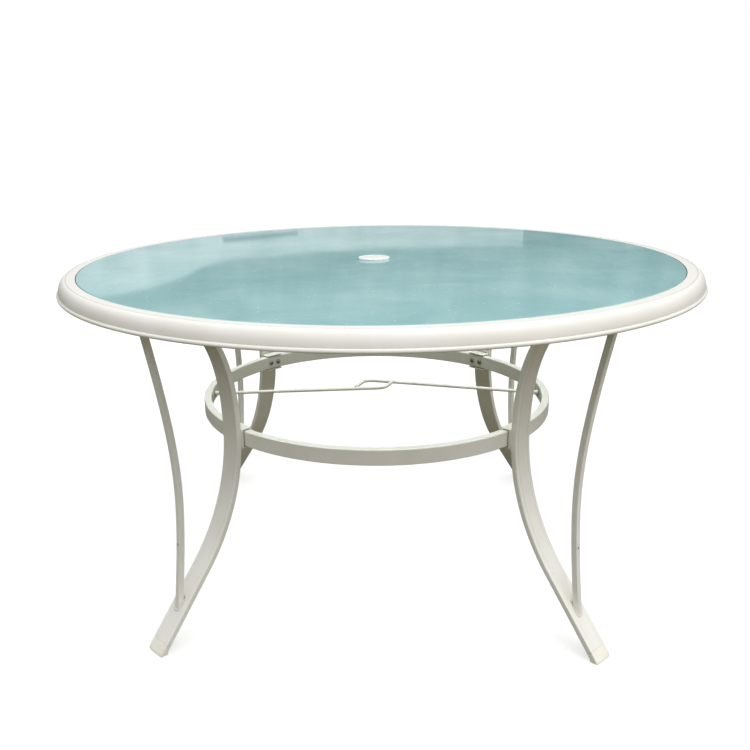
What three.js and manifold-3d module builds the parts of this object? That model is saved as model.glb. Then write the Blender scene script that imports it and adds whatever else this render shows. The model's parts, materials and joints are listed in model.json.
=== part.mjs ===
// Round patio table with a glass top, an umbrella hole and four double-bow legs.
// Millimetres, +Z up. The origin is on the floor under the centre of the top.
import * as THREE from 'three';
import { mergeVertices } from 'three/addons/utils/BufferGeometryUtils.js';
import Module from 'manifold-3d';

const wasm = await Module();
wasm.setup();

// Driving sizes of the whole table
const tableDiameter = 1371.6;
const tableHeight = 721;
const seatGap = 0.3;
const trimOverrun = 2;

// Facets
const ringFacets = 52;
const smallFacets = 24;
const boltFacets = 8;
const rodFacets = 8;
const arcPointsPerSegment = 2;

// Rim: a rolled extrusion, open below, with a flat band, a rounded face and a bead
const beadRadius = 4;
const faceReach = 16.1;
const faceDrop = 26;
const grooveWidth = 1.2;
const grooveDepth = 0.8;
const bandWidth = 18.2;
const lipChamfer = 0.6;
const rimWall = 2.2;
const ledgeReach = 14;
const ledgeThickness = 2;
const flangeReach = 20;
const flangeThickness = 3;
const facePoints = 6;
const beadPoints = 5;
const shellPoints = 3;

// Glass and its gasket
const glassThickness = 5;
const glassChamfer = 0.6;
const glassHoleRadius = 28;
const gasketThickness = 1.6;
const gasketWall = 0.9;
const gasketStandBelow = 2.2;

// Umbrella ring and its cap
const poleBoreRadius = 25.4;
const sleeveLength = 12;
const ringFlangeReach = 6.3;
const ringFlangeThickness = 1.6;
const ringFlangeChamfer = 0.7;
const capReach = 7.2;
const capEdge = 1.2;
const capCrown = 2.2;
const capSkirtLength = 12;
const capSkirtWall = 2;
const capHollow = 0.5;
const capPoints = 5;

// Main legs: a flat tube bent in the plane of the leg, described by its outer face
const legWidth = 48;
const legThickness = 12;
const legWall = 1.6;
const legCorner = 2;
const legGrooveInset = 9.5;
const legGrooveWidth = 1.6;
const legGrooveDepth = 0.6;
const footInset = 55.4;
const footKick = 1.5619;
const waistStandOff = 19;
const waistRise = 10.8;
const sweepEndShare = 0.5411;
const sweepRiseShare = 0.732;
const sweepRunShare = 0.548;
const legEndInset = 36;
const legBowSteps = 7;
const legSweepSteps = 9;
const legCount = 4;
const firstLegDegrees = 45;

// Outer bars: a square tube bowed between two places on the main leg
const barWidth = 12.7;
const barWall = 1.2;
const barCorner = 1.5;
const barWaistShare = 0.4996;
const barWaistDrop = 84.2;
const barTopShare = 0.6857;
const barFootHeight = 74.1;
const barBow = 1.42;
const barHandleShare = 0.333;
const barBury = 1.5;
const barHalfSteps = 6;
const drainRadius = 2.2;
const drainShare = 0.577;

// Foot caps and the plugs in the top ends of the legs
const footCapLength = 27;
const footCapHeel = 3.5;
const footCapBevel = 1.2;
const toeCornerCut = 3;
const toeCutterHalf = 10;
const stemLength = 18;
const plugPlate = 2.5;

// Brace ring and the channel brackets that hold it to the legs
const braceOuterRadius = 397;
const braceThickness = 16;
const braceHeight = 33;
const braceMiddleHeight = 404.2;
const braceWall = 1.6;
const braceCorner = 2;
const bracketPlay = 1.3;
const bracketFlange = 3;
const bracketWidth = 46;
const bracketOverhang = 1.5;

// Bolts
const boltRadius = 3;
const boltPlay = 0.3;
const boltHeadRadius = 5.4;
const boltHeadHeight = 3.6;
const boltHeadPoints = 3;
const nutFlats = 10;
const nutHeight = 5;
const nutStandOut = 2;
const ringBoltSpacing = 23.6;
const rimBoltSpacing = 28;

// Umbrella pole guide: two round rods that hook round the pole
const rodRadius = 3.2;
const rodRise = 22;
const eyeHalfWidth = 30;
const hookRadius = 20;
const hookAhead = 10.2;
const tailLeanDegrees = 20;
const hookSteps = 8;
const ferruleLength = 10;
const ferruleBaseRadius = 6.5;
const ferruleTipRadius = 4.4;
const ferruleOffset = 0.8;

// Places worked out from the sizes above
const radians = THREE.MathUtils.degToRad;
const rimOuterRadius = tableDiameter / 2;
const faceBottomRadius = rimOuterRadius - beadRadius;
const faceTopRadius = faceBottomRadius - faceReach;
const lipRadius = faceTopRadius - grooveWidth - bandWidth;
const beadHeight = tableHeight - faceDrop - beadRadius;
const rimBottom = beadHeight - beadRadius;
const ledgeTop = tableHeight - glassThickness - gasketThickness - 2 * seatGap;
const glassRadius = lipRadius - gasketWall - 2 * seatGap;
const glassBottom = tableHeight - glassThickness;
const flangeMiddleRadius = lipRadius - flangeReach / 2;
const legTop = rimBottom - seatGap;
const legUnderside = legTop - legThickness;
const waistRadius = braceOuterRadius + waistStandOff;
const waistHeight = braceMiddleHeight + waistRise;
const rimOverWaist = rimOuterRadius - waistRadius;
const sweepEndRadius = waistRadius + rimOverWaist * sweepEndShare;
const footRadius = rimOuterRadius - footInset;
const footRun = (footKick * (footRadius - waistRadius)) / waistHeight;
const footLean = Math.atan(footRun);
const barWaistRadius = waistRadius + rimOverWaist * barWaistShare;
const barWaistHeight = braceMiddleHeight - barWaistDrop;
const barTopRadius = waistRadius + rimOverWaist * barTopShare;
const barFootRadius = footRadius - footRun * barFootHeight;
const ringFlangeTop = tableHeight + seatGap + ringFlangeThickness;
const ringFlangeRadius = glassHoleRadius + ringFlangeReach;
const braceInnerRadius = braceOuterRadius - braceThickness;
const braceTop = braceMiddleHeight + braceHeight / 2;
const braceBottom = braceMiddleHeight - braceHeight / 2;
const boltHoleRadius = boltRadius + boltPlay;
const legDirections = Array.from({ length: legCount },
  (_, i) => radians(firstLegDegrees) + (2 * Math.PI * i) / legCount);

// Materials
const paint = new THREE.MeshStandardMaterial({ color: 0xf0ede2, roughness: 0.42, metalness: 0 });
const steel = new THREE.MeshStandardMaterial({ color: 0xc9c9c6, roughness: 0.25, metalness: 1 });
const glassMaterial = new THREE.MeshStandardMaterial({ color: 0x9cc4c3, roughness: 0.12, metalness: 0 });
const rubber = new THREE.MeshStandardMaterial({ color: 0xb9b9b2, roughness: 0.8, metalness: 0 });
const footPlastic = new THREE.MeshStandardMaterial({ color: 0xf4efdd, roughness: 0.5, metalness: 0 });
const capPlastic = new THREE.MeshStandardMaterial({ color: 0xf6f6f2, roughness: 0.4, metalness: 0 });

const table = new THREE.Group();

// A geometry with its shared corners merged and its zero-area triangles dropped
function welded(geometry) {
  const bare = geometry.index ? geometry.clone() : geometry;
  bare.deleteAttribute('normal');
  bare.deleteAttribute('uv');
  const merged = mergeVertices(bare);
  const from = merged.index.array;
  const kept = [];
  for (let i = 0; i < from.length; i += 3) {
    const [a, b, c] = [from[i], from[i + 1], from[i + 2]];
    if (a !== b && b !== c && c !== a) kept.push(a, b, c);
  }
  merged.setIndex(kept);
  return merged;
}

// Six times the volume inside the triangles: below zero when they face inwards
function signedVolume(geometry) {
  const position = geometry.attributes.position;
  const index = geometry.index.array;
  const [a, b, c] = [new THREE.Vector3(), new THREE.Vector3(), new THREE.Vector3()];
  let sum = 0;
  for (let i = 0; i < index.length; i += 3) {
    a.fromBufferAttribute(position, index[i]);
    b.fromBufferAttribute(position, index[i + 1]);
    c.fromBufferAttribute(position, index[i + 2]);
    sum += a.dot(b.cross(c));
  }
  return sum;
}

// The same geometry with its faces pointing out
function facingOut(geometry) {
  const whole = welded(geometry);
  if (signedVolume(whole) < 0) {
    const index = whole.index.array;
    for (let i = 0; i < index.length; i += 3) [index[i], index[i + 1]] = [index[i + 1], index[i]];
  }
  return whole;
}

function toSolid(geometry) {
  const whole = facingOut(geometry);
  const vertProperties = new Float32Array(whole.attributes.position.array);
  const triVerts = new Uint32Array(whole.index.array);
  return new wasm.Manifold(new wasm.Mesh({ numProp: 3, vertProperties, triVerts }));
}

function toGeometry(solid) {
  const mesh = solid.getMesh();
  const geometry = new THREE.BufferGeometry();
  geometry.setAttribute('position', new THREE.BufferAttribute(new Float32Array(mesh.vertProperties), 3));
  geometry.setIndex(new THREE.BufferAttribute(new Uint32Array(mesh.triVerts), 1));
  return geometry;
}

// A blank with tools cut out of it and further blanks joined to it
function machined(blank, { cuts = [], joins = [] }) {
  let solid = toSolid(blank);
  for (const join of joins) solid = solid.add(toSolid(join));
  for (const cut of cuts) solid = solid.subtract(toSolid(cut));
  return toGeometry(solid);
}

function part(name, geometry, material, parent = table) {
  const mesh = new THREE.Mesh(facingOut(geometry), material);
  mesh.name = name;
  parent.add(mesh);
  return mesh;
}

// A closed outline of [radius, height] turned about the Z axis
function turned(outline, facets = ringFacets) {
  const onAxis = outline[0][0] === 0;
  const points = outline.map(([r, z]) => new THREE.Vector2(r, z));
  if (!onAxis) points.push(points[0].clone());
  return new THREE.LatheGeometry(points, facets).rotateX(Math.PI / 2);
}

// Points of a quarter or half ellipse round [cr, cz], both ends included
function ellipseArc(cr, cz, reach, rise, from, to, count) {
  return Array.from({ length: count }, (_, i) => {
    const a = radians(from + ((to - from) * i) / (count - 1));
    return [cr + reach * Math.cos(a), cz + rise * Math.sin(a)];
  });
}

// A rod or hole along an axis: 'x' runs outwards along a leg, 'z' upwards
function round(radius, from, to, axis, at, facets = boltFacets) {
  const geometry = new THREE.CylinderGeometry(radius, radius, to - from, facets);
  if (axis === 'z') return geometry.rotateX(Math.PI / 2).translate(at[0], at[1], (from + to) / 2);
  return geometry.rotateZ(-Math.PI / 2).translate((from + to) / 2, at[0], at[1]);
}

function block(from, to) {
  const size = to.map((value, i) => value - from[i]);
  const geometry = new THREE.BoxGeometry(...size);
  return geometry.translate(...from.map((value, i) => value + size[i] / 2));
}

// Rim
{
  const bandTop = tableHeight;
  const grooveOuter = faceTopRadius;
  const grooveInner = faceTopRadius - grooveWidth;
  const faceBase = tableHeight - faceDrop;
  const wallOuter = lipRadius + rimWall;
  const shellReach = faceReach + grooveWidth - rimWall;
  const outline = [
    [lipRadius - ledgeReach, ledgeTop - ledgeThickness],
    [lipRadius - ledgeReach, ledgeTop],
    [lipRadius, ledgeTop],
    [lipRadius, bandTop - lipChamfer],
    [lipRadius + lipChamfer, bandTop],
    [grooveInner, bandTop],
    [grooveInner + grooveWidth / 2, bandTop - grooveDepth],
    ...ellipseArc(grooveOuter, faceBase, faceReach, faceDrop, 90, 0, facePoints),
    ...ellipseArc(faceBottomRadius, beadHeight, beadRadius, beadRadius, 90, -90, beadPoints),
    [faceBottomRadius - rimWall, rimBottom],
    ...ellipseArc(grooveInner, faceBase, shellReach, faceDrop - rimWall, 0, 90, shellPoints),
    [wallOuter, bandTop - rimWall],
    [wallOuter, rimBottom],
    [lipRadius - flangeReach, rimBottom],
    [lipRadius - flangeReach, rimBottom + flangeThickness],
    [lipRadius, rimBottom + flangeThickness],
    [lipRadius, ledgeTop - ledgeThickness],
  ];
  const holes = [];
  for (const direction of legDirections) {
    for (const side of [-1, 1]) {
      const hole = round(boltHoleRadius, rimBottom - trimOverrun, rimBottom + flangeThickness + trimOverrun,
        'z', [flangeMiddleRadius, (side * rimBoltSpacing) / 2]);
      holes.push(hole.rotateZ(direction));
    }
  }
  part('rim', machined(turned(outline), { cuts: holes }), paint);
}

// Gasket under and around the glass
{
  const bottom = ledgeTop + seatGap;
  const outer = lipRadius - seatGap;
  part('glazing_gasket', turned([
    [lipRadius - ledgeReach, bottom],
    [outer, bottom],
    [outer, tableHeight - gasketStandBelow],
    [outer - gasketWall, tableHeight - gasketStandBelow],
    [outer - gasketWall, bottom + gasketThickness],
    [lipRadius - ledgeReach, bottom + gasketThickness],
  ]), rubber);
}

// Glass disc with the umbrella hole; its clear top starts outside the umbrella ring
part('glass_top', turned([
  [glassHoleRadius, glassBottom + glassChamfer],
  [glassHoleRadius + glassChamfer, glassBottom],
  [glassRadius - glassChamfer, glassBottom],
  [glassRadius, glassBottom + glassChamfer],
  [glassRadius, tableHeight - glassChamfer],
  [glassRadius - glassChamfer, tableHeight],
  [ringFlangeRadius + trimOverrun, tableHeight],
  [glassHoleRadius + glassChamfer, tableHeight],
  [glassHoleRadius, tableHeight - glassChamfer],
]), glassMaterial);

// Umbrella ring: a flanged sleeve in the hole of the glass
{
  const sleeveRadius = glassHoleRadius - seatGap;
  part('umbrella_ring', turned([
    [poleBoreRadius, glassBottom - sleeveLength],
    [sleeveRadius, glassBottom - sleeveLength],
    [sleeveRadius, tableHeight + seatGap],
    [ringFlangeRadius, tableHeight + seatGap],
    [ringFlangeRadius, ringFlangeTop - ringFlangeChamfer],
    [ringFlangeRadius - ringFlangeChamfer, ringFlangeTop],
    [poleBoreRadius, ringFlangeTop],
  ], smallFacets), capPlastic);
}

// Cap that closes the umbrella hole and lifts straight off
{
  const seat = ringFlangeTop + seatGap;
  const capRadius = glassHoleRadius + capReach;
  const skirt = poleBoreRadius - seatGap;
  const crown = seat + capEdge;
  const dome = ellipseArc(0, crown, capRadius, capCrown, 90, 0, capPoints);
  dome[0][0] = 0;
  part('umbrella_hole_cap', turned([
    ...dome,
    [capRadius, seat],
    [skirt, seat],
    [skirt, seat - capSkirtLength],
    [skirt - capSkirtWall, seat - capSkirtLength],
    [skirt - capSkirtWall, seat + capHollow],
    [0, seat + capHollow],
  ], smallFacets), capPlastic);
}

// Part of a circle in the XZ plane
class UprightArc extends THREE.Curve {
  constructor(centreX, centreZ, radius, from, to) {
    super();
    Object.assign(this, { centreX, centreZ, radius, from, to });
  }

  getPoint(t, target = new THREE.Vector3()) {
    const a = this.from + (this.to - this.from) * t;
    return target.set(this.centreX + this.radius * Math.cos(a), 0, this.centreZ + this.radius * Math.sin(a));
  }
}

// Curves end to end, each with its own number of steps: [curve, steps], [curve, steps], ...
class SteppedPath extends THREE.Curve {
  constructor(...pieces) {
    super();
    this.pieces = pieces;
    this.steps = pieces.reduce((sum, [, steps]) => sum + steps, 0);
  }

  locate(share) {
    let station = share * this.steps;
    for (const [curve, steps] of this.pieces.slice(0, -1)) {
      if (station <= steps) return [curve, station / steps];
      station -= steps;
    }
    const [curve, steps] = this.pieces.at(-1);
    return [curve, Math.min(station / steps, 1)];
  }

  getPointAt(share, target) {
    const [curve, t] = this.locate(share);
    return curve.getPoint(t, target);
  }

  getTangentAt(share, target) {
    const [curve, t] = this.locate(share);
    return curve.getTangent(t, target);
  }
}

const point = (x, z) => new THREE.Vector3(x, 0, z);

// The outer face of a main leg, from just above the foot cap to the leg's end under the rim:
// a straight foot, an arc through the waist, a sweep outwards and a level run
function legFaceLine() {
  const bend = (waistRadius - footRadius + footRun * waistHeight)
    / (footRun * Math.sin(footLean) - 1 + Math.cos(footLean));
  const arcStart = waistHeight - bend * Math.sin(footLean);
  const tip = point(footRadius - footCapLength * Math.sin(footLean), footCapLength * Math.cos(footLean));
  const knee = point(footRadius - footRun * arcStart, arcStart);
  const waist = point(waistRadius, waistHeight);
  const sweepEnd = point(sweepEndRadius, legUnderside);
  const rise = (legUnderside - waistHeight) * sweepRiseShare;
  const reach = (sweepEndRadius - waistRadius) * sweepRunShare;
  const sweep = new THREE.CubicBezierCurve3(
    waist,
    point(waistRadius, waistHeight + rise),
    point(sweepEndRadius - reach, legUnderside),
    sweepEnd,
  );
  return new SteppedPath(
    [new THREE.LineCurve3(tip, knee), 1],
    [new UprightArc(waistRadius + bend, waistHeight, bend, Math.PI + footLean, Math.PI), legBowSteps],
    [sweep, legSweepSteps],
    [new THREE.LineCurve3(sweepEnd, point(rimOuterRadius - legEndInset, legUnderside)), 1],
  );
}

// Tube section: x across the tube, y from the inner face at -thickness to the outer face at 0.
// Grown sections are solid and serve as cutting tools.
function tubeSection({ width, thickness, corner, wall, grow, grooveInset }) {
  const half = width / 2 + grow;
  const inner = -thickness - grow;
  const section = new THREE.Shape();
  section.moveTo(-half + corner, inner);
  section.lineTo(half - corner, inner);
  section.lineTo(half, inner + corner);
  section.lineTo(half, grow - corner);
  section.lineTo(half - corner, grow);
  for (const side of grooveInset ? [1, -1] : []) {
    const middle = side * (width / 2 - grooveInset);
    section.lineTo(middle + legGrooveWidth / 2, grow);
    section.lineTo(middle, grow - legGrooveDepth);
    section.lineTo(middle - legGrooveWidth / 2, grow);
  }
  section.lineTo(-half + corner, grow);
  section.lineTo(-half, grow - corner);
  section.lineTo(-half, inner + corner);
  section.closePath();
  if (wall) {
    const [x, low, high] = [width / 2 - wall, wall - thickness, -wall];
    const bore = new THREE.Path();
    bore.moveTo(-x, low);
    bore.lineTo(-x, high);
    bore.lineTo(x, high);
    bore.lineTo(x, low);
    bore.closePath();
    section.holes.push(bore);
  }
  return section;
}

function swept(section, path, curveSegments = 1) {
  return new THREE.ExtrudeGeometry(section, {
    steps: path.steps, bevelEnabled: false, extrudePath: path, curveSegments,
  });
}

const legSize = { width: legWidth, thickness: legThickness, corner: legCorner };

function legTube() {
  const section = tubeSection({ ...legSize, wall: legWall, grow: 0, grooveInset: legGrooveInset });
  return swept(section, legFaceLine());
}

function legClearance() {
  return swept(tubeSection({ ...legSize, wall: 0, grow: seatGap, grooveInset: 0 }), legFaceLine());
}

// The outer face of an outer bar below and above its waist, both ends running a little way into
// the main leg; each end leans more than the straight line to the waist
function barHalves() {
  const rise = barWaistHeight - barFootHeight;
  const climb = legUnderside - barWaistHeight;
  const bottomRun = (barBow * (barFootRadius - barWaistRadius)) / rise;
  const topRun = (barBow * (barTopRadius - barWaistRadius)) / climb;
  const bury = Math.min(barWidth, legThickness) / 2;
  const foot = point(barFootRadius + barBury * bottomRun, barFootHeight - barBury);
  const waist = point(barWaistRadius, barWaistHeight);
  const top = point(barTopRadius + bury * topRun, legUnderside + bury);
  const [low, high] = [rise * barHandleShare, climb * barHandleShare];
  const lower = new THREE.CubicBezierCurve3(
    foot,
    point(foot.x - low * bottomRun, foot.z + low),
    point(waist.x, waist.z - low),
    waist,
  );
  const upper = new THREE.CubicBezierCurve3(
    waist,
    point(waist.x, waist.z + high),
    point(top.x - high * topRun, top.z - high),
    top,
  );
  return [lower, upper];
}

function outerBar() {
  const section = tubeSection({
    width: barWidth, thickness: barWidth, corner: barCorner, wall: barWall, grow: 0, grooveInset: 0,
  });
  const [lower, upper] = barHalves();
  const tube = swept(section, new SteppedPath([lower, barHalfSteps], [upper, barHalfSteps]));
  const drain = lower.getPoint(drainShare);
  const drill = round(drainRadius, drain.x - barWidth / 2, drain.x + trimOverrun, 'x', [0, drain.z]);
  return machined(tube, { cuts: [legClearance(), drill] });
}

// Stem that fits inside the end of a leg tube: it runs along +x, and z is the depth under the
// tube's outer face
function stem(length) {
  const clear = legWall + seatGap;
  const across = legWidth / 2 - clear;
  return block([-trimOverrun / 2, -across, clear], [length, across, legThickness - clear]);
}

function footCap() {
  const lean = footLean;
  const upLine = [-Math.sin(lean), Math.cos(lean)];
  const intoLeg = [-Math.cos(lean), -Math.sin(lean)];
  const at = (s, depth) => [
    footRadius + upLine[0] * s + intoLeg[0] * depth,
    upLine[1] * s + intoLeg[1] * depth,
  ];
  const top = footCapLength - seatGap;
  const [outerTop, innerTop] = [at(top, 0), at(top, legThickness)];
  const innerFloor = footRadius - legThickness / Math.cos(lean) - footCapHeel;
  const outline = new THREE.Shape();
  outline.moveTo(innerFloor, 0);
  outline.lineTo(footRadius, 0);
  outline.lineTo(...outerTop);
  outline.lineTo(...innerTop);
  outline.closePath();
  const collar = new THREE.ExtrudeGeometry(outline, {
    depth: legWidth - 2 * footCapBevel, bevelEnabled: true, bevelThickness: footCapBevel,
    bevelSize: footCapBevel, bevelOffset: -footCapBevel, bevelSegments: 1, curveSegments: 1,
  }).translate(0, 0, footCapBevel - legWidth / 2).rotateX(Math.PI / 2);
  const [x, z] = at(top, 0);
  const peg = stem(stemLength).rotateY(-Math.PI / 2 - lean).translate(x, 0, z);
  const outwards = (toeCutterHalf - toeCornerCut) / Math.SQRT2;
  const cuts = [-1, 1].map((side) => block([-toeCutterHalf, -toeCutterHalf, -trimOverrun],
    [toeCutterHalf, toeCutterHalf, footCapLength]).rotateZ(Math.PI / 4)
    .translate(footRadius + outwards, side * (legWidth / 2 + outwards), 0));
  return machined(collar, { joins: [peg], cuts });
}

// Plug in the level end of a leg
function topPlug() {
  const end = rimOuterRadius - legEndInset + seatGap;
  const plate = block([0, -legWidth / 2, 0], [plugPlate, legWidth / 2, legThickness]);
  const peg = stem(stemLength / 2).rotateZ(Math.PI);
  return machined(plate, { joins: [peg] }).translate(end, 0, legUnderside);
}

// Channel between leg and brace ring: the web stands on the leg, the flanges reach over the ring
function ringBracket() {
  const outer = waistRadius - legThickness - seatGap;
  const webFace = braceOuterRadius + seatGap;
  const inner = braceInnerRadius - bracketOverhang;
  const [low, high] = [braceBottom - bracketPlay, braceTop + bracketPlay];
  const outline = new THREE.Shape();
  outline.moveTo(outer, low - bracketFlange);
  outline.lineTo(outer, high + bracketFlange);
  outline.lineTo(inner, high + bracketFlange);
  outline.lineTo(inner, high);
  outline.lineTo(webFace, high);
  outline.lineTo(webFace, low);
  outline.lineTo(inner, low);
  outline.lineTo(inner, low - bracketFlange);
  outline.closePath();
  const channel = new THREE.ExtrudeGeometry(outline, { depth: bracketWidth, bevelEnabled: false })
    .translate(0, 0, -bracketWidth / 2).rotateX(Math.PI / 2);
  const cuts = [-1, 1].map((side) => round(boltHoleRadius, webFace - trimOverrun, outer + trimOverrun, 'x',
    [(side * ringBoltSpacing) / 2, braceMiddleHeight]));
  return machined(channel, { cuts });
}

// Button-head bolt along +z, its head's seat at height zero and its shank above it
function bolt(length) {
  const head = ellipseArc(0, 0, boltHeadRadius, -boltHeadHeight, 90, 0, boltHeadPoints);
  head[0][0] = 0;
  return turned([...head, [boltRadius, 0], [boltRadius, length], [0, length]], boltFacets);
}

function nut() {
  const across = nutFlats / Math.sqrt(3);
  const outline = new THREE.Shape();
  for (let i = 0; i < 6; i++) {
    const a = (i * Math.PI) / 3;
    if (i) outline.lineTo(across * Math.cos(a), across * Math.sin(a));
    else outline.moveTo(across, 0);
  }
  outline.closePath();
  const bore = new THREE.Path();
  bore.absarc(0, 0, boltHoleRadius, 0, 2 * Math.PI, true);
  outline.holes.push(bore);
  return new THREE.ExtrudeGeometry(outline,
    { depth: nutHeight, bevelEnabled: false, curveSegments: boltFacets / arcPointsPerSegment });
}

// Everything that one leg carries, built along +X and turned to its direction
function legAssembly(name, direction) {
  const group = new THREE.Group();
  group.rotation.z = direction;
  table.add(group);
  const rimBolts = [-1, 1].map((side) => [flangeMiddleRadius, (side * rimBoltSpacing) / 2]);
  const holes = rimBolts.map((at) => (
    round(boltHoleRadius, legUnderside - trimOverrun, legTop + trimOverrun, 'z', at)));
  part(`main_leg_${name}`, machined(legTube(), { cuts: holes }), paint, group);

  part(`outer_bar_${name}`, outerBar(), paint, group);
  part(`foot_cap_${name}`, footCap(), footPlastic, group);
  part(`leg_plug_${name}`, topPlug(), footPlastic, group);
  part(`ring_bracket_${name}`, ringBracket(), paint, group);

  const halfFacet = Math.PI / ringFacets;
  const boltSeat = braceInnerRadius * Math.cos(halfFacet)
    - (ringBoltSpacing / 2 + boltHeadRadius) * Math.sin(halfFacet) - seatGap;
  const ringBoltLength = waistRadius - legThickness - 2 * seatGap - boltSeat;
  const rimBoltLength = legThickness + flangeThickness + nutHeight + nutStandOut + 3 * seatGap;
  [-1, 1].forEach((side, i) => {
    const label = ['a', 'b'][i];
    const acrossRing = bolt(ringBoltLength).rotateY(Math.PI / 2);
    acrossRing.translate(boltSeat, (side * ringBoltSpacing) / 2, braceMiddleHeight);
    part(`ring_bolt_${name}_${label}`, acrossRing, steel, group);
    const [r, t] = rimBolts[i];
    const rimBolt = bolt(rimBoltLength).translate(r, t, legUnderside - seatGap);
    const rimNut = nut().translate(r, t, rimBottom + flangeThickness + seatGap);
    part(`rim_bolt_${name}_${label}`, rimBolt, steel, group);
    part(`rim_nut_${name}_${label}`, rimNut, steel, group);
  });
}

['back_right', 'back_left', 'front_left', 'front_right'].forEach((name, i) => {
  legAssembly(name, legDirections[i]);
});

// Brace ring: a rectangular tube rolled into a hoop, drilled through for the bolts
{
  const [r0, r1, z0, z1] = [braceInnerRadius, braceOuterRadius, braceBottom, braceTop];
  const tube = turned([
    [r0 + braceCorner, z0], [r1 - braceCorner, z0], [r1, z0 + braceCorner], [r1, z1 - braceCorner],
    [r1 - braceCorner, z1], [r0 + braceCorner, z1], [r0, z1 - braceCorner], [r0, z0 + braceCorner],
  ]);
  const bore = turned([
    [r0 + braceWall, z0 + braceWall], [r1 - braceWall, z0 + braceWall],
    [r1 - braceWall, z1 - braceWall], [r0 + braceWall, z1 - braceWall],
  ]);
  const cuts = [bore];
  for (const direction of legDirections) {
    for (const side of [-1, 1]) {
      const hole = round(boltHoleRadius, braceInnerRadius - 2 * trimOverrun, braceOuterRadius + trimOverrun,
        'x', [(side * ringBoltSpacing) / 2, braceMiddleHeight]);
      cuts.push(hole.rotateZ(direction));
    }
  }
  part('brace_ring', machined(tube, { cuts }), paint);
}

// Part of a circle in a level plane
class LevelArc extends THREE.Curve {
  constructor(centre, radius, from, to) {
    super();
    Object.assign(this, { centre, radius, from, to });
  }

  getPoint(t, target = new THREE.Vector3()) {
    const a = this.from + (this.to - this.from) * t;
    const { x, y, z } = this.centre;
    return target.set(x + this.radius * Math.cos(a), y + this.radius * Math.sin(a), z);
  }
}

// A guide rod runs in from the ring at -X and rises to the pole. Its hook goes on past the pole,
// bends round it and ends against the other rod. The other rod and hook are the same turned half
// round. Rod, hook and the other hook's tail meet in one weld.
const tailLean = radians(tailLeanDegrees);
const rodStart = new THREE.Vector3(-braceInnerRadius + 2 * seatGap, 0, braceMiddleHeight);
const hookCentre = new THREE.Vector3(hookAhead, hookRadius - eyeHalfWidth, braceMiddleHeight + rodRise);
const rodBearing = (() => {
  const [run, side] = [hookCentre.x - rodStart.x, hookCentre.y];
  return Math.atan2(side, run) - Math.asin(hookRadius / Math.hypot(run, side));
})();
const onHook = (angle) => hookCentre.clone().add(
  new THREE.Vector3(hookRadius * Math.cos(angle), hookRadius * Math.sin(angle), 0),
);
const rodTouch = onHook(rodBearing - Math.PI / 2);
const rodDirection = rodTouch.clone().sub(rodStart).normalize();

// The tail's centre line, which stops just short of the other rod
const tail = (() => {
  const from = onHook(-tailLean);
  const heading = new THREE.Vector3(Math.sin(tailLean), Math.cos(tailLean), 0);
  const rodHeading = new THREE.Vector3(Math.cos(rodBearing), Math.sin(rodBearing), 0);
  const across = new THREE.Vector3(-Math.sin(rodBearing), Math.cos(rodBearing), 0);
  const stop = -across.dot(rodStart) - rodRadius - seatGap - rodRadius * Math.abs(heading.dot(rodHeading));
  const to = from.clone().addScaledVector(heading, (stop - across.dot(from)) / across.dot(heading));
  return { from, to };
})();

// Where the other hook's tail meets this rod
const weldPoint = (() => {
  const reach = new THREE.Vector3(-tail.to.x, -tail.to.y, 0).sub(rodStart).setZ(0).length();
  const whole = rodTouch.clone().sub(rodStart).setZ(0).length();
  return rodStart.clone().lerp(rodTouch, reach / whole);
})();

function rodAlong(...pieces) {
  const section = new THREE.Shape();
  section.absarc(0, 0, rodRadius, 0, 2 * Math.PI, false);
  return swept(section, new SteppedPath(...pieces), rodFacets / arcPointsPerSegment);
}

// The rod's end or the hook's start, half a gap to either side of the weld
const besideWeld = (side) => weldPoint.clone().addScaledVector(rodDirection, (side * seatGap) / 2);

function guideRod() {
  return rodAlong([new THREE.LineCurve3(rodStart, besideWeld(-1)), 1]);
}

function guideHook() {
  return rodAlong(
    [new THREE.LineCurve3(besideWeld(1), rodTouch), 1],
    [new LevelArc(hookCentre, hookRadius, rodBearing - Math.PI / 2, -tailLean), hookSteps],
    [new THREE.LineCurve3(tail.from, tail.to), 1],
  );
}

function ferrule() {
  const base = rodStart.clone().addScaledVector(rodDirection, ferruleOffset);
  return turned([
    [rodRadius + seatGap, 0],
    [ferruleBaseRadius, 0],
    [ferruleTipRadius, ferruleLength],
    [rodRadius + seatGap, ferruleLength],
  ], boltFacets).lookAt(rodDirection).translate(base.x, base.y, base.z);
}

[['left', 0], ['right', Math.PI]].forEach(([name, turn]) => {
  const group = new THREE.Group();
  group.rotation.z = turn;
  table.add(group);
  part(`guide_rod_${name}`, guideRod(), paint, group);
  part(`guide_hook_${name}`, guideHook(), paint, group);
  part(`rod_ferrule_${name}`, ferrule(), paint, group);
});

export default table;
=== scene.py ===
"""Looks of a round patio table: frosted glass top, rolled rim, bowed legs, brace ring and umbrella guide.

Sizes are in millimetres in the table's own frame: +Z up, the origin on the floor under the centre of the top. Blender's
metres come in at one place, when a surface becomes a mesh.
"""

from __future__ import annotations

import json
import logging
import math
from dataclasses import dataclass, field
from enum import Enum

import bpy
import numpy as np
from mathutils import Matrix, Vector

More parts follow.
